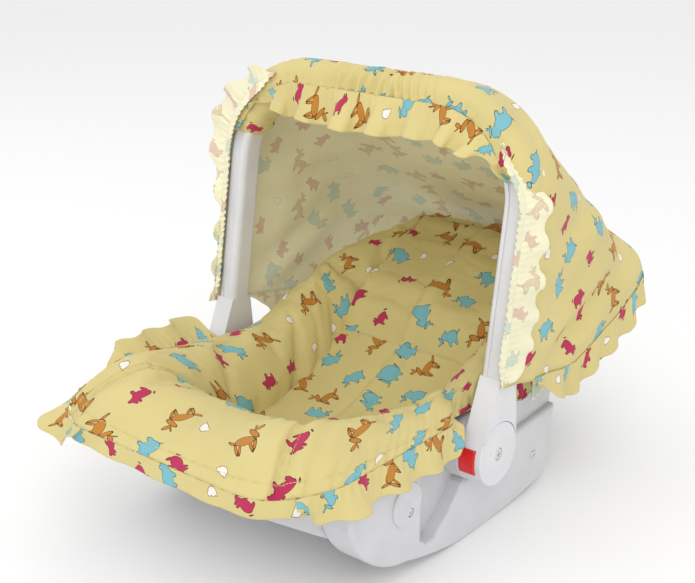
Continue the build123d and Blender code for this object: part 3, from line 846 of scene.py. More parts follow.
def gathered_net(
    name: str, line: Points, out: Points, fall: Points, gather: Gather, origin: tuple[float, float]
) -> ClothGrid:
    """Net of a gathered strip sewn along a line.

    Args:
        name: the piece's name.
        line: points of the seam.
        out: unit directions away from the object at each point.
        fall: unit directions from the seam to the free edge.
        gather: the strip's width and waves.
        origin: cloth place of the first point.

    Returns:
        The net; its last row is the free edge.
    """
    along = run_along(line)
    tangent = unit(np.gradient(line, axis=0))
    drift = gather.drift * wander(gather.seed, along, 2.2 * gather.wavelength)
    phase = along / gather.wavelength * math.tau + drift
    size = 1 + gather.size_spread * wander(gather.seed + 1, along, 1.6 * gather.wavelength)
    reach = 1 + gather.reach_spread * wander(gather.seed + 2, along, 2.5 * gather.wavelength)
    tuck = along / gather.wavelength * gather.tucks * math.tau
    tuck += 2.5 * wander(gather.seed + 3, along, gather.wavelength)
    to_end = np.minimum(along, along[-1] - along)
    ending = gather.end_share + (1 - gather.end_share) * ease(to_end / gather.ends)
    fall = fall * ending[:, None]
    rows = []
    for share in np.linspace(0, 1, gather.rows):
        wave = gather.wave * share**1.15 * size * np.sin(phase) + gather.flare * share**1.5 * gather.width
        wave += gather.pleat * np.sin(tuck) * (1 - share) ** 2 * min(1.0, 6 * share)
        roll = -gather.roll * gather.wave * share * size * np.sin(2 * phase)
        drop = reach * (1 + 0.035 * share * np.cos(phase))
        rows.append(
            line
            + fall * (gather.width * share * drop)[:, None]
            + out * wave[:, None]
            + tangent * roll[:, None]
        )
    net = np.stack(rows)
    facing = float((ClothGrid(name, net).normals() * out).sum())
    return ClothGrid(name, net if facing > 0 else net[:, ::-1], origin, Cut.HEMMED)


@dataclass
class StitchLine:
    """Rows of thread made by one Geometry Nodes tree."""

    thread: bpy.types.Material
    pitch: float = 0.0042
    length: float = 0.0028
    radius: float = 0.00038

    def _tree(self) -> bpy.types.NodeTree:
        """Tree that lays one thread after another along the edges of a mesh."""
        tree = bpy.data.node_groups.new("stitch_line", "GeometryNodeTree")
        tree.interface.new_socket("Geometry", in_out="INPUT", socket_type="NodeSocketGeometry")
        for name in ("Pitch", "Length", "Radius"):
            tree.interface.new_socket(name, in_out="INPUT", socket_type="NodeSocketFloat")
        tree.interface.new_socket("Thread", in_out="INPUT", socket_type="NodeSocketMaterial")
        tree.interface.new_socket("Geometry", in_out="OUTPUT", socket_type="NodeSocketGeometry")
        bench = NodeBench(tree)
        given = bench.node("NodeGroupInput").outputs
        curve = bench.node("GeometryNodeMeshToCurve", {0: given["Geometry"]}).outputs[0]
        places = bench.node(
            "GeometryNodeCurveToPoints", {"Curve": curve, "Length": given["Pitch"]}, mode="LENGTH"
        )
        bead = bench.node(
            "GeometryNodeMeshCylinder",
            {"Vertices": 6, "Radius": given["Radius"], "Depth": given["Length"]},
        )
        laid = bench.node(
            "GeometryNodeInstanceOnPoints",
            {
                "Points": places.outputs[0],
                "Instance": bead.outputs[0],
                "Rotation": places.outputs["Rotation"],
            },
        )
        real = bench.node("GeometryNodeRealizeInstances", {0: laid.outputs[0]})
        dressed = bench.node(
            "GeometryNodeSetMaterial", {"Geometry": real.outputs[0], "Material": given["Thread"]}
        )
        bench.node("NodeGroupOutput", {0: dressed.outputs[0]})
        return tree

    def build(self, name: str, lines: Sequence[Points]) -> bpy.types.Object:
        """Sew along lines of points.

        Args:
            name: the piece's name.
            lines: each seam's points.

        Returns:
            All the threads as one plain mesh.
        """
        data = bpy.data.meshes.new(name)
        edges, start = [], 0
        for line in lines:
            edges += [(start + index, start + index + 1) for index in range(len(line) - 1)]
            start += len(line)
        data.from_pydata(np.concatenate(lines).tolist(), edges, [])
        piece = placed(name, data)
        modifier = piece.modifiers.new("stitches", "NODES")
        modifier.node_group = self._tree()
        values = {"Pitch": self.pitch, "Length": self.length, "Radius": self.radius, "Thread": self.thread}
        for item in modifier.node_group.interface.items_tree:
            if item.in_out == "INPUT" and item.name in values:
                modifier[item.identifier] = values[item.name]
        bake_modifiers(piece)
        return piece


def declare_sheet(
    grid: ClothGrid, node: str
) -> None:
    """Hide the node that a cloth piece replaces; its area is worked out but not kept."""
    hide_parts(node)
    grid.area


def sheet_piece(
    grid: ClothGrid, faces: Sequence[bpy.types.Material], body: Body, node: str
) -> bpy.types.Object:
    """Make a gathered strip that rides on one body.

    Args:
        grid: the strip's net.
        faces: cloth of its face and of its back.
        body: the body that it rides on.
        node: the node that it stands for.

    Returns:
        The finished strip.
    """
    piece = grid.mesh(faces)
    finish_sheet(piece)
    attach(piece, body.value)
    declare_sheet(grid, node)
    return piece


@dataclass(frozen=True)
class Creases:
    """Heights and sizes, in metres, of the slack folds on the cover's roll.

    Folds run down into the seat, a ripple covers everything, small gathers sit along the outer edge, and
    deeper ones sit at both corners of the foot end, whose place and width are shares of the roll's length.
    """

    fold: float = 0.0040
    fold_size: tuple = (0.058, 0.30)
    ripple: float = 0.0016
    ripple_size: tuple = (0.09, 0.12)
    edge: float = 0.0012
    edge_pitch: float = 0.013
    corner: float = 0.0030
    corner_pitch: float = 0.021
    corner_place: float = 0.085
    corner_width: float = 0.028


@dataclass
class PaddedCover:
    """The quilted cotton cover: seat and back pads, the roll round the rim and its frills."""

    wardrobe: Wardrobe
    inner: RimPath = RimPath(0.101, -0.150, 0.030, 0.300, 0.096)
    crest: RimPath = RimPath(0.160, -0.268, 0.085, 0.304, 0.120)
    outer: RimPath = RimPath(0.198, -0.350, 0.090, 0.312, 0.140)
    rim_knots: tuple = (
        (-0.36, 0.162), (-0.1, 0.154), (0.06, 0.149), (0.14, 0.168), (0.24, 0.212), (0.33, 0.251),
    )
    lying_knots: tuple = (
        (-0.16, 0.118), (-0.12, 0.096), (-0.08, 0.092), (-0.006, 0.101), (0.052, 0.122), (0.108, 0.150),
    )
    back_knots: tuple = (
        (0.112, 0.152), (0.124, 0.178), (0.145, 0.200), (0.202, 0.230), (0.262, 0.256),
        (0.300, 0.266), (0.322, 0.262),
    )
    crest_knots: tuple = (
        (-0.27, 0.222), (-0.22, 0.220), (-0.15, 0.206), (-0.06, 0.194), (0.00, 0.194), (0.04, 0.207),
        (0.10, 0.234), (0.16, 0.252), (0.24, 0.272), (0.31, 0.282),
    )
    front_dip: float = 0.020
    roll_columns: int = 320
    roll_rows: int = 36
    leg_seams: tuple = (0.424, 0.576)
    wing_seams: tuple = (0.135, 0.865)
    shrink: float = 0.006
    hub_inset: float = 0.013
    rim_plan: tuple = (0.1896, 0.153, 0.318, 0.098)
    skirt_start: float = 0.100
    skirt_gather: float = 0.011
    pad_depth: float = 0.012
    creases: Creases = Creases()
    leg_press: tuple = (0.0055, 0.0035)
    wing_press: tuple = (0.0045, 0.0030)
    lying_half: float = 0.109
    lying_flare: float = 0.002
    lying_shrink: float = 0.006
    channel: tuple = (0.005, 0.045)
    junction: tuple = (0.007, 0.007)
    junction_y: float = 0.111

    def rim_height(self, y: Points) -> Points:
        """Height of the shell's rim."""
        return through(self.rim_knots, y)

    def lying_height(self, y: Points) -> Points:
        """Height of the seat and back along the middle."""
        return np.where(y < 0.110, through(self.lying_knots, y), through(self.back_knots, y))

    def crest_height(self, place: Points) -> Points:
        """Height of the roll's crest, dipping in the middle of the foot end."""
        dip = ease(1 - np.abs(place[..., 0]) / 0.150) * ease((-place[..., 1] - 0.20) / 0.05)
        return through(self.crest_knots, place[..., 1]) - self.front_dip * dip

    def outer_height(self, share: Points, y: Points) -> Points:
        """Height of the roll's outer seam: above the rim, and lower in front of the feet."""
        front = ease((0.115 - np.abs(share - 0.5)) / 0.05)
        behind = ease((y - 0.030) / 0.050)
        return self.rim_height(y) + 0.010 + 0.006 * (1 - front) - 0.022 * behind

    def outer_plan(self, share: Points) -> Points:
        """Plan of the outer seam, drawn in behind the handle's drums."""
        plan = self.outer.at(share)
        beside = ease((plan[:, 1] + 0.085) / 0.030) * ease((0.045 - plan[:, 1]) / 0.030)
        plan[:, 0] -= np.sign(plan[:, 0]) * self.hub_inset * beside
        return plan

    def roll_net(self) -> ClothGrid:
        """Net of the whole roll; rows run from the inner seam over the crest to the outer seam."""
        share = np.linspace(0, 1, self.roll_columns)
        inner, crest = self.inner.at(share), self.crest.at(share)
        outer = self.outer_plan(share)
        inner_z = self.lying_height(inner[:, 1]) - 0.010
        crest_z = self.crest_height(crest) - self.shrink
        outer_z = self.outer_height(share, outer[:, 1])
        stations = (
            (0.0, inner, inner_z),
            (0.30, inner * 0.66 + crest * 0.34, inner_z * 0.50 + crest_z * 0.50),
            (0.55, inner * 0.18 + crest * 0.82, crest_z - 0.005),
            (0.68, crest, crest_z),
            (0.84, crest * 0.48 + outer * 0.52, crest_z * 0.66 + outer_z * 0.34),
            (1.0, outer, outer_z),
        )
        knots = [station[0] for station in stations]
        values = np.stack([np.column_stack([plan, height]) for _, plan, height in stations])
        place = np.linspace(0, 1, self.roll_rows)
        points = np.empty((self.roll_rows, self.roll_columns, 3))
        for column in range(self.roll_columns):
            for axis in range(3):
                points[:, column, axis] = through(list(zip(knots, values[:, column, axis])), place)
        return ClothGrid("roll", points[::-1], (0.3, 0.1))

    def crease_roll(self, grid: ClothGrid) -> None:
        """Slack folds that run from the crest down into the seat, strongest on the inner side."""
        creases = self.creases
        rows, columns = grid.points.shape[:2]
        depth = np.linspace(1, 0, rows)[:, None]
        share = np.linspace(0, 1, columns)[None, :]
        down, along = grid.places[..., 0], grid.places[..., 1]
        inside = ease((0.62 - depth) / 0.3) * ease(depth / 0.12)
        slanted = (down * 0.6 + along, along * 0.25 + down)
        height = creases.fold * crumple(7, *slanted, creases.fold_size) * inside
        height += creases.ripple * crumple(11, along, down, creases.ripple_size) * ease(depth / 0.1)
        edge = ease((depth - 0.80) / 0.2)
        phase = along / creases.edge_pitch * math.tau + 3 * wander(5, along[0], 0.05)
        height += creases.edge * edge * np.sin(phase)
        corner = np.exp(-(((np.abs(share - 0.5) - creases.corner_place) / creases.corner_width) ** 2))
        gathers = np.sin(along / creases.corner_pitch * math.tau)
        height += creases.corner * corner * ease((depth - 0.45) / 0.4) * gathers
        grid.lift(height)

    def press_seams(self, grid: ClothGrid) -> None:
        """Pull the cloth in along the seams that cross the roll."""
        columns = grid.points.shape[1]
        share = np.linspace(0, 1, columns)
        pull = np.zeros(columns)
        for place, (depth, width) in (
            *((seam, self.leg_press) for seam in self.leg_seams),
            *((seam, self.wing_press) for seam in self.wing_seams),
        ):
            pull += depth * np.exp(-(((share - place) / width) ** 2))
        grid.lift(-np.broadcast_to(pull, grid.points.shape[:2]))

    def build(self) -> list[bpy.types.Object]:
        """Make every piece of the cover."""
        roll = self.roll_net()
        self.crease_roll(roll)
        pins = np.zeros(roll.points.shape[:2])
        pins[0], pins[-1], pins[:, 0], pins[:, -1] = 1.0, 1.0, 1.0, 1.0
        for seam in self.leg_seams + self.wing_seams:
            pins[:, round(seam * (self.roll_columns - 1))] = 0.6
        swell(roll, pins, Stuffing(pressure=3.0, slack=0.025, cap=0.012))
        self.press_seams(roll)
        first, last = (round(seam * (self.roll_columns - 1)) for seam in self.leg_seams)
        seat = self.lying_net("seat_quilt", (-0.156, 0.110), 54, (0.2, 1.0))
        back = self.lying_net("back_quilt", (0.112, 0.322), 44, (0.9, 1.2))
        pieces = [
            self.pad(roll.part("right_bolster", 0, first), "bolster_right"),
            self.pad(roll.part("leg_roll", first, last), "leg_rest_roll"),
            self.pad(roll.part("left_bolster", last, self.roll_columns - 1), "bolster_left"),
            self.pad(seat, "seat_pad"),
            self.pad(back, "backrest_pad"),
        ]
        pieces += [*self.frills(), self.skirt()]
        pieces.append(self.stitches(roll, seat, back))
        return pieces

    def lying_net(self, name: str, span: tuple, rows: int, origin: tuple) -> ClothGrid:
        """A quilted net of two stuffed columns with a sewn channel between them."""
        columns = 49
        y = np.linspace(*span, rows)
        x = np.linspace(-1, 1, columns)
        grid_y, grid_x = np.meshgrid(y, x, indexing="ij")
        half = self.lying_half + self.lying_flare * ease((grid_y - 0.11) / 0.2)
        z = self.lying_height(grid_y) - self.lying_shrink
        points = np.stack([grid_x * half, grid_y, z], axis=2)[:, ::-1][::-1]
        grid = ClothGrid(name, points, origin)
        grid.lift(-0.0006 * crumple(3, grid.places[..., 0], grid.places[..., 1], (0.05, 0.10)))
        pins = np.zeros(points.shape[:2])
        pins[0], pins[-1], pins[:, 0], pins[:, -1] = 1.0, 1.0, 1.0, 1.0
        pins[:, columns // 2] = 1.0
        swell(grid, pins, Stuffing(pressure=4.0, slack=0.012, cap=0.013))
        (sunk, width), (pressed, reach) = self.channel, self.junction
        junction = np.exp(-(((grid_y - self.junction_y) / reach) ** 2))
        grid.lift(-sunk * np.exp(-((grid_x / width) ** 2)) * (1 - junction) - pressed * junction)
        return grid

    def pad(self, grid: ClothGrid, node: str) -> bpy.types.Object:
        closed = close_pad(grid, self.pad_depth, self.wardrobe.print_side)
        return smooth_pad(closed, node, Body.SEAT)

    def frills(self) -> list[bpy.types.Object]:
        """The two side frills and the apron's hem."""
        made = []
        right = Gather(0.038, 0.0075, 0.062, 0.22, seed=21)
        hem = Gather(0.020, 0.0012, 0.070, 0.0, 0.0005, seed=31, rows=7)
        left = Gather(0.036, 0.0070, 0.050, 0.20, seed=41)
        sides = (
            ("right_frill", (0.238, 0.410), right, "side_frill_right"),
            ("apron_hem", (0.388, 0.585), hem, "front_apron"),
            ("left_frill", (0.552, 0.762), left, "side_frill_left"),
        )
        for index, (name, span, gather, node) in enumerate(sides):
            share = np.linspace(*span, 110 if index == 1 else 240)
            plan = self.outer_plan(share)
            tangent = unit(np.gradient(plan, axis=0))
            out = np.column_stack([-tangent[:, 1], tangent[:, 0], np.zeros(len(plan))])
            out *= np.sign((out[:, :2] * plan).sum(axis=1))[:, None]
            height = self.outer_height(share, plan[:, 1])
            line = np.column_stack([plan, height]) + out * 0.001
            lift = ease((plan[:, 1] + 0.25) / 0.07) * ease((-0.035 - plan[:, 1]) / 0.04)
            lift = (lift * (index == 2))[:, None]
            corner = np.exp(-(((share - 0.598) / 0.030) ** 2))[:, None] * (index == 2)
            rise = 1.65 * lift - 1 + 0.15 * corner
            spread = 0.05 + 0.70 * lift + 0.85 * corner
            fall = unit(rise * (0.0, 0.0, 1.0) + spread * out)
            grid = gathered_net(name, line, out, fall, gather, (0.5 * index, 0.2))
            faces = [self.wardrobe.print_side, self.wardrobe.back_with_painted_light]
            made.append(sheet_piece(grid, faces, Body.SEAT, node))
        return made

    def skirt(self) -> bpy.types.Object:
        """Elastic edge of the cover that wraps over the rim from the hubs round the head end."""
        half, knee, rear, rear_half = self.rim_plan
        corners = np.array([(half, self.skirt_start), (half, knee), (rear_half, rear), (0.0, rear)])
        corners = np.concatenate([corners, corners[-2::-1] * (-1, 1)])
        run = run_along(corners)
        even = np.linspace(0, run[-1], 420)
        plan = np.column_stack([np.interp(even, run, corners[:, axis]) for axis in range(2)])
        kernel = np.hanning(41) / np.hanning(41).sum()
        padded = np.pad(plan, ((20, 20), (0, 0)), mode="reflect", reflect_type="odd")
        plan = np.column_stack([np.convolve(padded[:, axis], kernel, mode="valid") for axis in range(2)])
        tangent = unit(np.gradient(plan, axis=0))
        out = np.column_stack([tangent[:, 1], -tangent[:, 0]])
        gathers = np.sin(even / self.skirt_gather * math.tau + 3 * wander(51, even, 0.03))
        inside, over, ripple = 0.030, 0.036, 0.0010
        above, slope, wrap = 0.014, 0.006, 0.030
        rows = []
        for share in np.linspace(0, 1, 12):
            offset = -inside + over * float(ease(np.array(share / 0.55))) + ripple * share * gathers
            drop = above - slope * share - wrap * float(ease(np.array((share - 0.40) / 0.6)))
            place = plan + out * offset[:, None]
            rows.append(np.column_stack([place, self.rim_height(plan[:, 1]) + drop]))
        grid = ClothGrid("cover_skirt", np.stack(rows)[:, ::-1], (0.7, 0.4))
        piece = grid.mesh([self.wardrobe.print_side, self.wardrobe.back_with_painted_light])
        finish_sheet(piece)
        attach(piece, Body.SEAT.value)
        grid.area
        return piece

    def stitches(self, roll: ClothGrid, seat: ClothGrid, back: ClothGrid) -> bpy.types.Object:
        """Threads beside the seams."""
        proud = 0.0004
        lifted = roll.points + roll.normals() * proud
        lines = [lifted[2]]
        for seam in self.leg_seams + self.wing_seams:
            column = round(seam * (self.roll_columns - 1))
            lines += [lifted[2:, column - 1], lifted[2:, column + 1]]
        for grid in (seat, back):
            raised = grid.points + grid.normals() * proud
            lines.append(raised[:, raised.shape[1] // 2])
        piece = StitchLine(self.wardrobe.thread).build("cover_stitches", lines)
        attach(piece, Body.SEAT.value)
        return piece


# The hood -------------------------------------------------------------------------------------------
HUB = (-0.020, 0.119)
LEAN = math.radians(9.0)
SQUARENESS = 2.6


def squared(cosine: Points, sine: Points) -> Points:
    """Factor that turns places on a circle into places on a rounded square."""
    return (np.abs(cosine) ** SQUARENESS + np.abs(sine) ** SQUARENESS) ** (-1 / SQUARENESS)


def on_handle(x: Points, u: Points, w: Points) -> Points:
    """Places on the leaning handle: u runs up the arm from the pivot and w runs to the front."""
    return np.stack(
        [
            x + 0 * u,
            HUB[0] + u * math.sin(LEAN) - w * math.cos(LEAN),
            HUB[1] + u * math.cos(LEAN) + w * math.sin(LEAN),
        ],
        axis=-1,
    )


@dataclass(frozen=True)
class BowPath:
    """Middle line of the handle's bar in its own plane."""

    half: float = 0.211
    top: float = 0.395
    corner: float = 0.110

    def at(self, foot: float, places: Points) -> tuple[Points, Points]:
        """Line from the right arm at height foot, over the crossbar, to the left arm.

        Args:
            foot: height of both ends up the arms.
            places: shares of the line's length.

        Returns:
            Places (x, u) and outward normals.
        """
        arm = self.top - self.corner - foot
        bend = self.corner * math.pi / 2
        bar = 2 * (self.half - self.corner)
        length = 2 * arm + 2 * bend + bar
        run = np.minimum(places, 1 - places) * length
        angle = np.clip((run - arm) / self.corner, 0, math.pi / 2)
        x = self.half - self.corner + self.corner * np.cos(angle) - np.clip(run - arm - bend, 0, None)
        u = foot + np.minimum(run, arm) + self.corner * np.sin(angle)
        side = np.where(places > 0.5, -1.0, 1.0)
        normal = np.stack([side * np.cos(angle), np.sin(angle)], axis=-1)
        return np.stack([side * x, u], axis=-1), normal

    def length(self, foot: float) -> float:
        """Length of the line."""
        return 2 * (self.top - self.corner - foot) + self.corner * math.pi + 2 * (self.half - self.corner)


@dataclass(frozen=True)
class Slack:
    """How the canopy hangs away from its taut net: heights along the normal and sizes, in metres."""

    dip: float = 0.008
    side_fold: float = 0.0080
    side_fold_size: tuple = (0.070, 0.40)
    side_slant: float = 0.55
    ripple: float = 0.0014
    ripple_size: tuple = (0.05, 0.09)
    pleat: float = 0.0052
    pleat_pitch: float = 0.062
    tuck_pitch: float = 0.0145
    pleat_skew: float = 0.012
    puff: float = 0.0048
    bar_start: float = 0.44
    bar_fade: float = 0.04


@dataclass
class Hood:
    """The folding canopy: stretched cloth, the padded roll on the crossbar and the ruffles."""

    wardrobe: Wardrobe
    bow: BowPath = BowPath()
    half: float = 0.228
    rear_half: float = 0.226
    corner: float = 0.096
    foot: float = 0.084
    wrap_rows: int = 18
    main_rows: int = 48
    bottom_knots: tuple = (
        (0.0, 0.034, 0.195), (0.36, 0.150, 0.176), (0.82, 0.325, 0.232), (1.0, 0.338, 0.238),
    )
    top_knots: tuple = (
        (0.0, 0.074, 0.5290), (0.05, 0.092, 0.5125), (0.84, 0.340, 0.284), (0.93, 0.356, 0.262),
        (1.0, 0.352, 0.246),
    )
    cloth: float = 0.0012
    slack: Slack = Slack()
    front_corner: float = 0.126
    front_flare: float = 0.006
    rear_curl: float = 0.022
    padding: tuple = (0.300, 0.030)
    over_padding: tuple = (0.0252, 0.0284)
    wrap_turn: tuple = (102, 130)
    arm_out: tuple = (0.0182, 0.001)
    arm_front: tuple = (0.0185, 0.036)

    def _columns(self) -> tuple[Points, Points, Points]:
        """Shares of the arm, the bend and the half crossbar for every column of the right half."""
        side, bend, bar = 18, 26, 44
        return (
            np.concatenate([np.linspace(0, 1, side, endpoint=False), np.ones(bend + bar)]),
            np.concatenate([np.zeros(side), np.linspace(0, 1, bend, endpoint=False), np.ones(bar)]),
            np.concatenate([np.zeros(side + bend), np.linspace(0, 1, bar)]),
        )

    def _wrap_rows(self) -> list[Points]:
        """Rows of cloth from the front seam over the padded roll and round the outside of the arms."""
        arm, bend, bar = self._columns()
        angle = bend * math.pi / 2
        path = self.bow
        x = path.half - path.corner * (1 - np.cos(angle)) - bar * (path.half - path.corner)
        u = self.foot + arm * (path.top - path.corner - self.foot) + path.corner * np.sin(angle)
        start, fade = self.padding
        padded = ease((u - start) / fade)
        over_out, over_front = self.over_padding
        rows = []
        for share in np.linspace(0, 1, self.wrap_rows):
            turn = math.radians(self.wrap_turn[0] - self.wrap_turn[1] * share)
            cosine, sine = math.cos(turn), math.sin(turn)
            square = squared(cosine, sine)
            bare_out = self.arm_out[0] - self.arm_out[1] * share
            bare_front = self.arm_front[0] - self.arm_front[1] * share
            out = padded * over_out * cosine * square + (1 - padded) * bare_out
            front = padded * over_front * sine * square + (1 - padded) * bare_front
            rows.append(on_handle(x + np.cos(angle) * out, u + np.sin(angle) * out, front))
        return rows

    def canopy_net(self) -> ClothGrid:
        """Net of the canopy: rows run from the front seam to the rear, columns from hem to hem."""
        arm, bend, bar = self._columns()
        knots, bottom_y, bottom_z = zip(*self.bottom_knots)
        top_place, top_y, top_z = zip(*self.top_knots)
        place = np.linspace(0, 1, self.main_rows)
        base = np.column_stack([np.interp(place, knots, bottom_y), np.interp(place, knots, bottom_z)])
        peak = np.column_stack([np.interp(place, top_place, top_y), np.interp(place, top_place, top_z)])
        net = self._wrap_rows()
        for share, low, high in zip(place, base, peak):
            rise = float(np.linalg.norm(high - low))
            rounding = float(ease(np.array(share / 0.5)))
            radius = min(self.front_corner + (self.corner - self.front_corner) * rounding, 0.8 * rise)
            half = self.half + (self.rear_half - self.half) * float(ease(np.array(share / 0.95)))
            half += self.front_flare * (1 - float(ease(np.array(share / 0.25))))
            angle = bend * math.pi / 2
            x = half - radius * (1 - np.cos(angle)) - bar * (half - radius)
            up = arm * (rise - radius) + radius * np.sin(angle)
            plane = low + (high - low) / rise * up[:, None]
            curl = self.rear_curl * ease(np.array((share - 0.6) / 0.4)) * (x / half) ** 6
            net.append(np.column_stack([x, plane[:, 0] - curl, plane[:, 1]]))
        right = np.stack(net)
        left = right[:, -2::-1] * (-1, 1, 1)
        grid = ClothGrid("canopy", np.concatenate([right, left], axis=1), (0.1, 0.7), Cut.CENTRED)
        self._unroll(grid, peak[-8] - peak[6])
        return grid

    def _unroll(self, grid: ClothGrid, slope: Points) -> None:
        """Lay the net's flat places out along the slope of its top, so that the print isn't sheared."""
        slope = slope / np.linalg.norm(slope)
        across = np.array([slope[1], -slope[0]])
        profile = np.stack([grid.points[..., 0], grid.points[..., 1:] @ across], axis=2)
        step = np.linalg.norm(np.diff(profile, axis=1), axis=2)
        along = np.concatenate([np.zeros((len(step), 1)), np.cumsum(step, axis=1)], axis=1)
        along -= along[:, along.shape[1] // 2][:, None]
        down = grid.points[..., 1:] @ slope
        flat = np.stack([down, along], axis=2)
        first = self.wrap_rows
        run = np.cumsum(np.linalg.norm(np.diff(grid.points[: first + 1], axis=0), axis=2)[::-1], axis=0)[::-1]
        flat[:first, :, 0] = flat[first, :, 0] - run
        flat[:first, :, 1] = flat[first, :, 1]
        grid.places = flat

    def slacken(self, grid: ClothGrid) -> None:
        """Let the taut cloth dip between its edges, fold softly at the sides and gather at the seam."""
        slack, rows = self.slack, len(grid.points)
        share = np.clip(np.linspace(-self.wrap_rows / self.main_rows, 1, rows), 0, 1)[:, None]
        x = np.abs(grid.points[..., 0]) / self.half
        window = np.sin(np.pi * share) ** 0.7
        side = ease((x - 0.75) / 0.25)
        down, along = grid.places[..., 0], np.abs(grid.places[..., 1])
        height = -slack.dip * window * (1 - side) * np.cos(np.clip(x, 0, 1) * math.pi / 2)
        slanted = down + slack.side_slant * along
        height += slack.side_fold * window * side * crumple(17, slanted, along, slack.side_fold_size)
        height += slack.ripple * window * crumple(19, down, along, slack.ripple_size)
        seam = np.linspace(0, 1, rows)[:, None] * rows / self.wrap_rows
        column = grid.places[self.wrap_rows, :, 1]
        skew = column + slack.pleat_skew * seam * np.sign(wander(13, column, 0.12))
        wide = skew / slack.pleat_pitch * math.pi + 4 * wander(9, column, 0.07)
        pleat = -0.8 * np.abs(np.sin(wide)) ** 0.7
        pleat += 0.65 * np.sin(skew / slack.tuck_pitch * math.tau + 3 * wander(10, column, 0.05))
        pleat *= 1 + 0.6 * wander(12, column, 0.06)
        bar = ease((grid.points[..., 2] - slack.bar_start) / slack.bar_fade)
        near_seam = np.exp(-((seam / 0.60) ** 2)) * (0.6 + 0.4 * ease(seam / 0.2))
        height += slack.pleat * bar * pleat * near_seam
        height += slack.puff * bar * np.exp(-(((seam - 0.40) / 0.34) ** 2))
        grid.lift(height)

    def fold(self, piece: bpy.types.Object) -> None:
        """Bake a piece's placement into its mesh; its points are read but not used."""
        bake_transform(piece)
        count = len(piece.data.vertices)
        flat = np.empty(count * 3)
        piece.data.vertices.foreach_get("co", flat)

    def build(self) -> list[bpy.types.Object]:
        """Make every piece of the hood."""
        canopy = self.canopy_net()
        self.slacken(canopy)
        sheet = canopy.mesh([self.wardrobe.print_side, self.wardrobe.back_with_painted_light])
        finish_sheet(sheet, self.cloth)
        self.fold(sheet)
        declare_sheet(canopy, "canopy_sheet")
        return [sheet, self.hem(canopy), self.roll(), *self.ruffles()]

    def hem(self, canopy: ClothGrid) -> bpy.types.Object:
        """Gathered frill below the canopy's hem, round the head end."""
        first = self.wrap_rows + 1
        last_row = canopy.points[-1]
        line = np.concatenate(
            [canopy.points[first:-1, 0], last_row, canopy.points[first:-1, -1][::-1]]
        )
        line = self._resample(line, 560)
        out = line * (1, 1, 0) - (0, 0.12, 0)
        out = np.where(np.abs(line[:, :1]) > 0.19, out * (1, 0.25, 0), out * (0.25, 1, 0))
        out = unit(out)
        fall = np.broadcast_to(np.array([0.0, 0.0, -1.0]), line.shape)
        gather = Gather(0.042, 0.0042, 0.050, 0.05, 0.0012, seed=61, ends=0.08)
        seam = line + out * 0.002 + (0, 0, 0.004)
        grid = gathered_net("hem_ruffle", seam, out, fall, gather, (0.3, 0.5))
        piece = grid.mesh([self.wardrobe.print_side, self.wardrobe.back_with_painted_light])
        finish_sheet(piece)
        self.fold(piece)
        declare_sheet(grid, "hem_frill")
        return piece

    def _resample(self, line: Points, count: int) -> Points:
        """Points at even distances along a line."""
        step = run_along(line)
        even = np.linspace(0, step[-1], count)
        return np.column_stack([np.interp(even, step, line[:, axis]) for axis in range(3)])

    def roll(self) -> bpy.types.Object:
        """Padded roll round the crossbar, wrinkled across its length."""
        foot, rings, around = 0.318, 220, 40
        share = np.linspace(0, 1, rings)
        path, normal = self.bow.at(foot, share)
        along = share * self.bow.length(foot)
        angle = np.linspace(0, math.tau, around, endpoint=False)
        cosine, sine = np.cos(angle), np.sin(angle)
        square = squared(cosine, sine)
        ends = ease(np.minimum(share, 1 - share) / 0.035)[:, None]
        place_along, place_around = np.meshgrid(along, angle * 0.026, indexing="ij")
        wrinkle = 0.0019 * crumple(23, place_along, place_around, (0.024, 0.16))
        wrinkle += 0.0012 * crumple(29, place_along, place_around, (0.011, 0.10)) * (0.5 - 0.5 * cosine)
        outer_scale = 1 + (wrinkle / 0.024) * ends
        in_plane = (0.0150 + 0.0070 * ends) * outer_scale * cosine * square
        to_front = (0.0182 + 0.0070 * ends) * outer_scale * sine * square
        outer = self._ring(path, normal, in_plane, to_front)
        inner = self._ring(path, normal, 0.0146 * (cosine * square)[None], 0.0176 * (sine * square)[None])
        torus = np.concatenate([outer, inner[::-1]])
        uv = np.concatenate([np.stack([place_along, place_around], 2)] * 2)
        return smooth_pad(self._closed_torus("bar_roll", torus, uv), "canopy_roll", Body.HANDLE)

    def _ring(self, path: Points, normal: Points, in_plane: Points, to_front: Points) -> Points:
        """Rings of points round the bow's line."""
        x = path[:, :1] + normal[:, :1] * in_plane
        u = path[:, 1:] + normal[:, 1:] * in_plane
        return on_handle(x, u, np.broadcast_to(to_front, x.shape))

    def _closed_torus(self, name: str, points: Points, places: Points) -> bpy.types.Object:
        """Mesh of a net that closes on itself both ways."""
        rows, columns = points.shape[:2]
        index = np.arange(rows * columns).reshape(rows, columns)
        below, beside = np.roll(index, -1, axis=0), np.roll(index, -1, axis=1)
        diagonal = np.roll(below, -1, axis=1)
        quads = np.stack([index, below, diagonal, beside], 2).reshape(-1, 4)
        wrap = np.zeros((rows, columns, 4, 2))
        wrap[:, -1, 2:, 1] = math.tau * 0.026
        uv = places.reshape(-1, 2)[quads].reshape(rows, columns, 4, 2) + wrap
        made = cloth_mesh(name, points, quads, uv, [self.wardrobe.print_side])
        shape = bmesh.new()
        shape.from_mesh(made.data)
        bmesh.ops.recalc_face_normals(shape, faces=shape.faces)
        shape.to_mesh(made.data)
        shape.free()
        return made

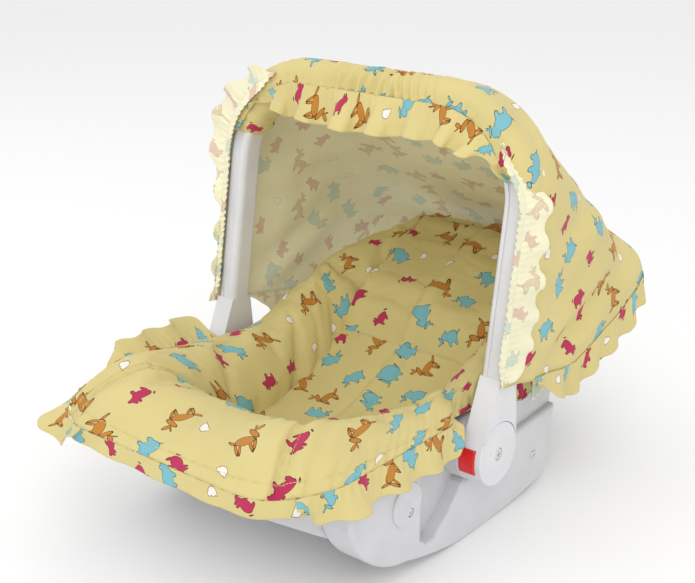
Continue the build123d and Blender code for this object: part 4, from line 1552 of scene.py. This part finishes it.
    def ruffles(self) -> list[bpy.types.Object]:
        """Ruffles in front of the crossbar and folded back along both arms, each with its header."""
        made = []
        front = on_handle(0.0, 0.0, 1.0) - on_handle(0.0, 0.0, 0.0)
        top = Gather(0.043, 0.0110, 0.050, 0.14, 0.0014, seed=71, ends=0.07)
        right = Gather(0.046, 0.0040, 0.040, 0.02, 0.0016, seed=81)
        left = Gather(0.036, 0.0062, 0.046, 0.10, 0.0016, seed=91)
        for name, node, span, gather, folded in (
            ("front_ruffle", "ruffle_top", (0.250, 0.700), top, False),
            ("right_ruffle", "ruffle_right", (0.0, 0.290), right, True),
            ("left_ruffle", "ruffle_left", (1.0, 0.650), left, True),
        ):
            share = np.linspace(*span, 330)
            path, normal = self.bow.at(self.foot, share)
            padded = ease((path[:, 1] - 0.290) / 0.050)
            out_offset = 0.0190 * (1 - padded) + (-0.004 + 0.015 * folded) * padded
            front_offset = 0.0195 * (1 - padded) + (0.0292 + 0.0022 * folded) * padded
            seam_x, seam_u = (path + normal * out_offset[:, None]).T
            line = on_handle(seam_x, seam_u, front_offset)
            outward = on_handle(normal[:, 0], normal[:, 1], 0.0) - on_handle(0.0, 0.0, 0.0)
            ahead = np.broadcast_to(front, outward.shape)
            if name == "front_ruffle":
                fall, out = -outward + 0.10 * ahead, ahead
            elif name == "right_ruffle":
                fall, out = -ahead + 0.10 * outward, outward
            else:
                fall, out = outward - 0.25 * ahead, ahead + 0.2 * outward
            fall, out = unit(fall), unit(out)
            taper = np.ones(len(path))
            if name == "left_ruffle":
                taper = ease((path[:, 1] - 0.19) / 0.13) * (1 - 0.4 * ease((0.75 - share) / 0.07))
            elif name == "front_ruffle":
                taper = 0.45 + 0.55 * ease((path[:, 1] - 0.335) / 0.045)
            grid = gathered_net(name, line, out, fall * taper[:, None], gather, (0.6, 0.3))
            faces = [self.wardrobe.print_side, self.wardrobe.back_with_painted_light]
            faces = faces[::-1] if folded else faces
            made.append(sheet_piece(grid, faces, Body.HANDLE, node))
            if folded:
                header = Gather(0.0115, 0.0012, 0.0085, 0.05, 0.0008, seed=gather.seed + 5, rows=6)
                strip = gathered_net(name.replace("ruffle", "header"), line, out, -fall, header, (0.1, 0.2))
                made.append(sheet_piece(strip, faces, Body.HANDLE, node))
        return made


# The stage ------------------------------------------------------------------------------------------
@dataclass(frozen=True)
class Studio:
    """Pale floor, soft light and the camera."""

    azimuth: float = math.radians(39.06)
    elevation: float = math.radians(20.08)
    distance: float = 1.5319
    target: tuple = (0.0, -0.0222, 0.2696)
    lens: float = 64.51
    lamps: tuple = (
        ("key", (1.6, -1.6, 2.3), 1.8, 18),
        ("front", (1.4, -2.6, 0.7), 2.0, 9),
        ("fill", (-2.2, -1.2, 1.4), 2.6, 9),
        ("top", (0.0, 0.4, 2.9), 3.0, 9),
    )
    sky: float = 0.90

    def build(self) -> None:
        """Set the floor, the lights and the camera."""
        self._floor()
        self._camera()
        for lamp in self.lamps:
            self._light(*lamp)
        world = bpy.data.worlds.new("studio")
        world.use_nodes = True
        backdrop = world.node_tree.nodes["Background"]
        backdrop.inputs[0].default_value = (1.0, 1.0, 1.0, 1.0)
        backdrop.inputs[1].default_value = self.sky
        bpy.context.scene.world = world
        bpy.context.scene.view_settings.view_transform = "Standard"

    def _floor(self) -> None:
        """A wide pale floor."""
        size = 12.0
        data = bpy.data.meshes.new("floor")
        corners = [(-size, -size, 0), (size, -size, 0), (size, size, 0), (-size, size, 0)]
        data.from_pydata(corners, [], [(0, 1, 2, 3)])
        floor = placed("floor", data)
        paper = bpy.data.materials.new("floor_paper")
        paper.use_nodes = True
        shader = paper.node_tree.nodes["Principled BSDF"]
        shader.inputs["Base Color"].default_value = (0.93, 0.93, 0.93, 1.0)
        shader.inputs["Roughness"].default_value = 0.9
        data.materials.append(paper)

    def _camera(self) -> None:
        """The camera at its measured angle."""
        view = bpy.data.cameras.new("camera")
        view.lens = self.lens
        view.sensor_width = 36.0
        camera = placed("camera", view)
        direction = Vector(
            (
                math.sin(self.azimuth) * math.cos(self.elevation),
                -math.cos(self.azimuth) * math.cos(self.elevation),
                math.sin(self.elevation),
            )
        )
        camera.location = Vector(self.target) + direction * self.distance
        camera.rotation_euler = (-direction).to_track_quat("-Z", "Y").to_euler()
        bpy.context.scene.camera = camera

    def _light(self, name: str, place: tuple, size: float, power: float) -> None:
        """One large soft lamp aimed at the seat."""
        lamp = bpy.data.lights.new(name, "AREA")
        lamp.size = size
        lamp.energy = power
        made = placed(name, lamp)
        made.location = place
        made.rotation_euler = (Vector(self.target) - Vector(place)).to_track_quat("-Z", "Y").to_euler()


def dress_hard_parts(wardrobe: Wardrobe) -> None:
    """Give every moulded and metal node its finish."""
    finishes = {
        "shell_white": wardrobe.shell_white,
        "handle_white": wardrobe.handle_white,
        "button_red": wardrobe.button_red,
        "screw_steel": wardrobe.screw_steel,
        "spring_steel": wardrobe.screw_steel,
        "zinc_plate": wardrobe.zinc_plate,
    }
    for row in frame["record"]["subparts"]:
        finish = finishes.get(row["material_slot"])
        if finish is None:
            continue
        node = frame["nodes"][row["node"]]
        node.data.materials.clear()
        node.data.materials.append(finish)


def coil_springs() -> list[bpy.types.Object]:
    """Copies of the springs behind the buttons, in place of the imported ones, which are hidden."""
    coils = []
    for side, button in ((Side.RIGHT, Body.BUTTON_RIGHT), (Side.LEFT, Body.BUTTON_LEFT)):
        node = frame["nodes"][f"button_spring_{side.value}"]
        coil = placed(f"button_coil_{side.value}", node.data.copy())
        coil.matrix_world = node.matrix_world.copy()
        places = np.array([tuple(coil.matrix_world @ vertex.co) for vertex in coil.data.vertices])
        centre = (places.min(axis=0) + places.max(axis=0)) / 2
        axis = np.array([0.0, centre[1] - HUB[0], centre[2] - HUB[1]])
        axis /= np.linalg.norm(axis)
        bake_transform(coil)
        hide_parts(node.name)
        coils.append(coil)
    return coils


def main() -> None:
    """Build the whole seat, piece by piece."""
    logging.basicConfig(level=logging.INFO, format="%(name)s: %(message)s")
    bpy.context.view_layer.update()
    Studio().build()
    wardrobe = Wardrobe()
    dress_hard_parts(wardrobe)
    coil_springs()
    for assembly in (PaddedCover(wardrobe), Hood(wardrobe)):
        for piece in assembly.build():
            LOG.info("made %s with %d faces", piece.name, len(piece.data.polygons))


if __name__ == "__main__":
    main()
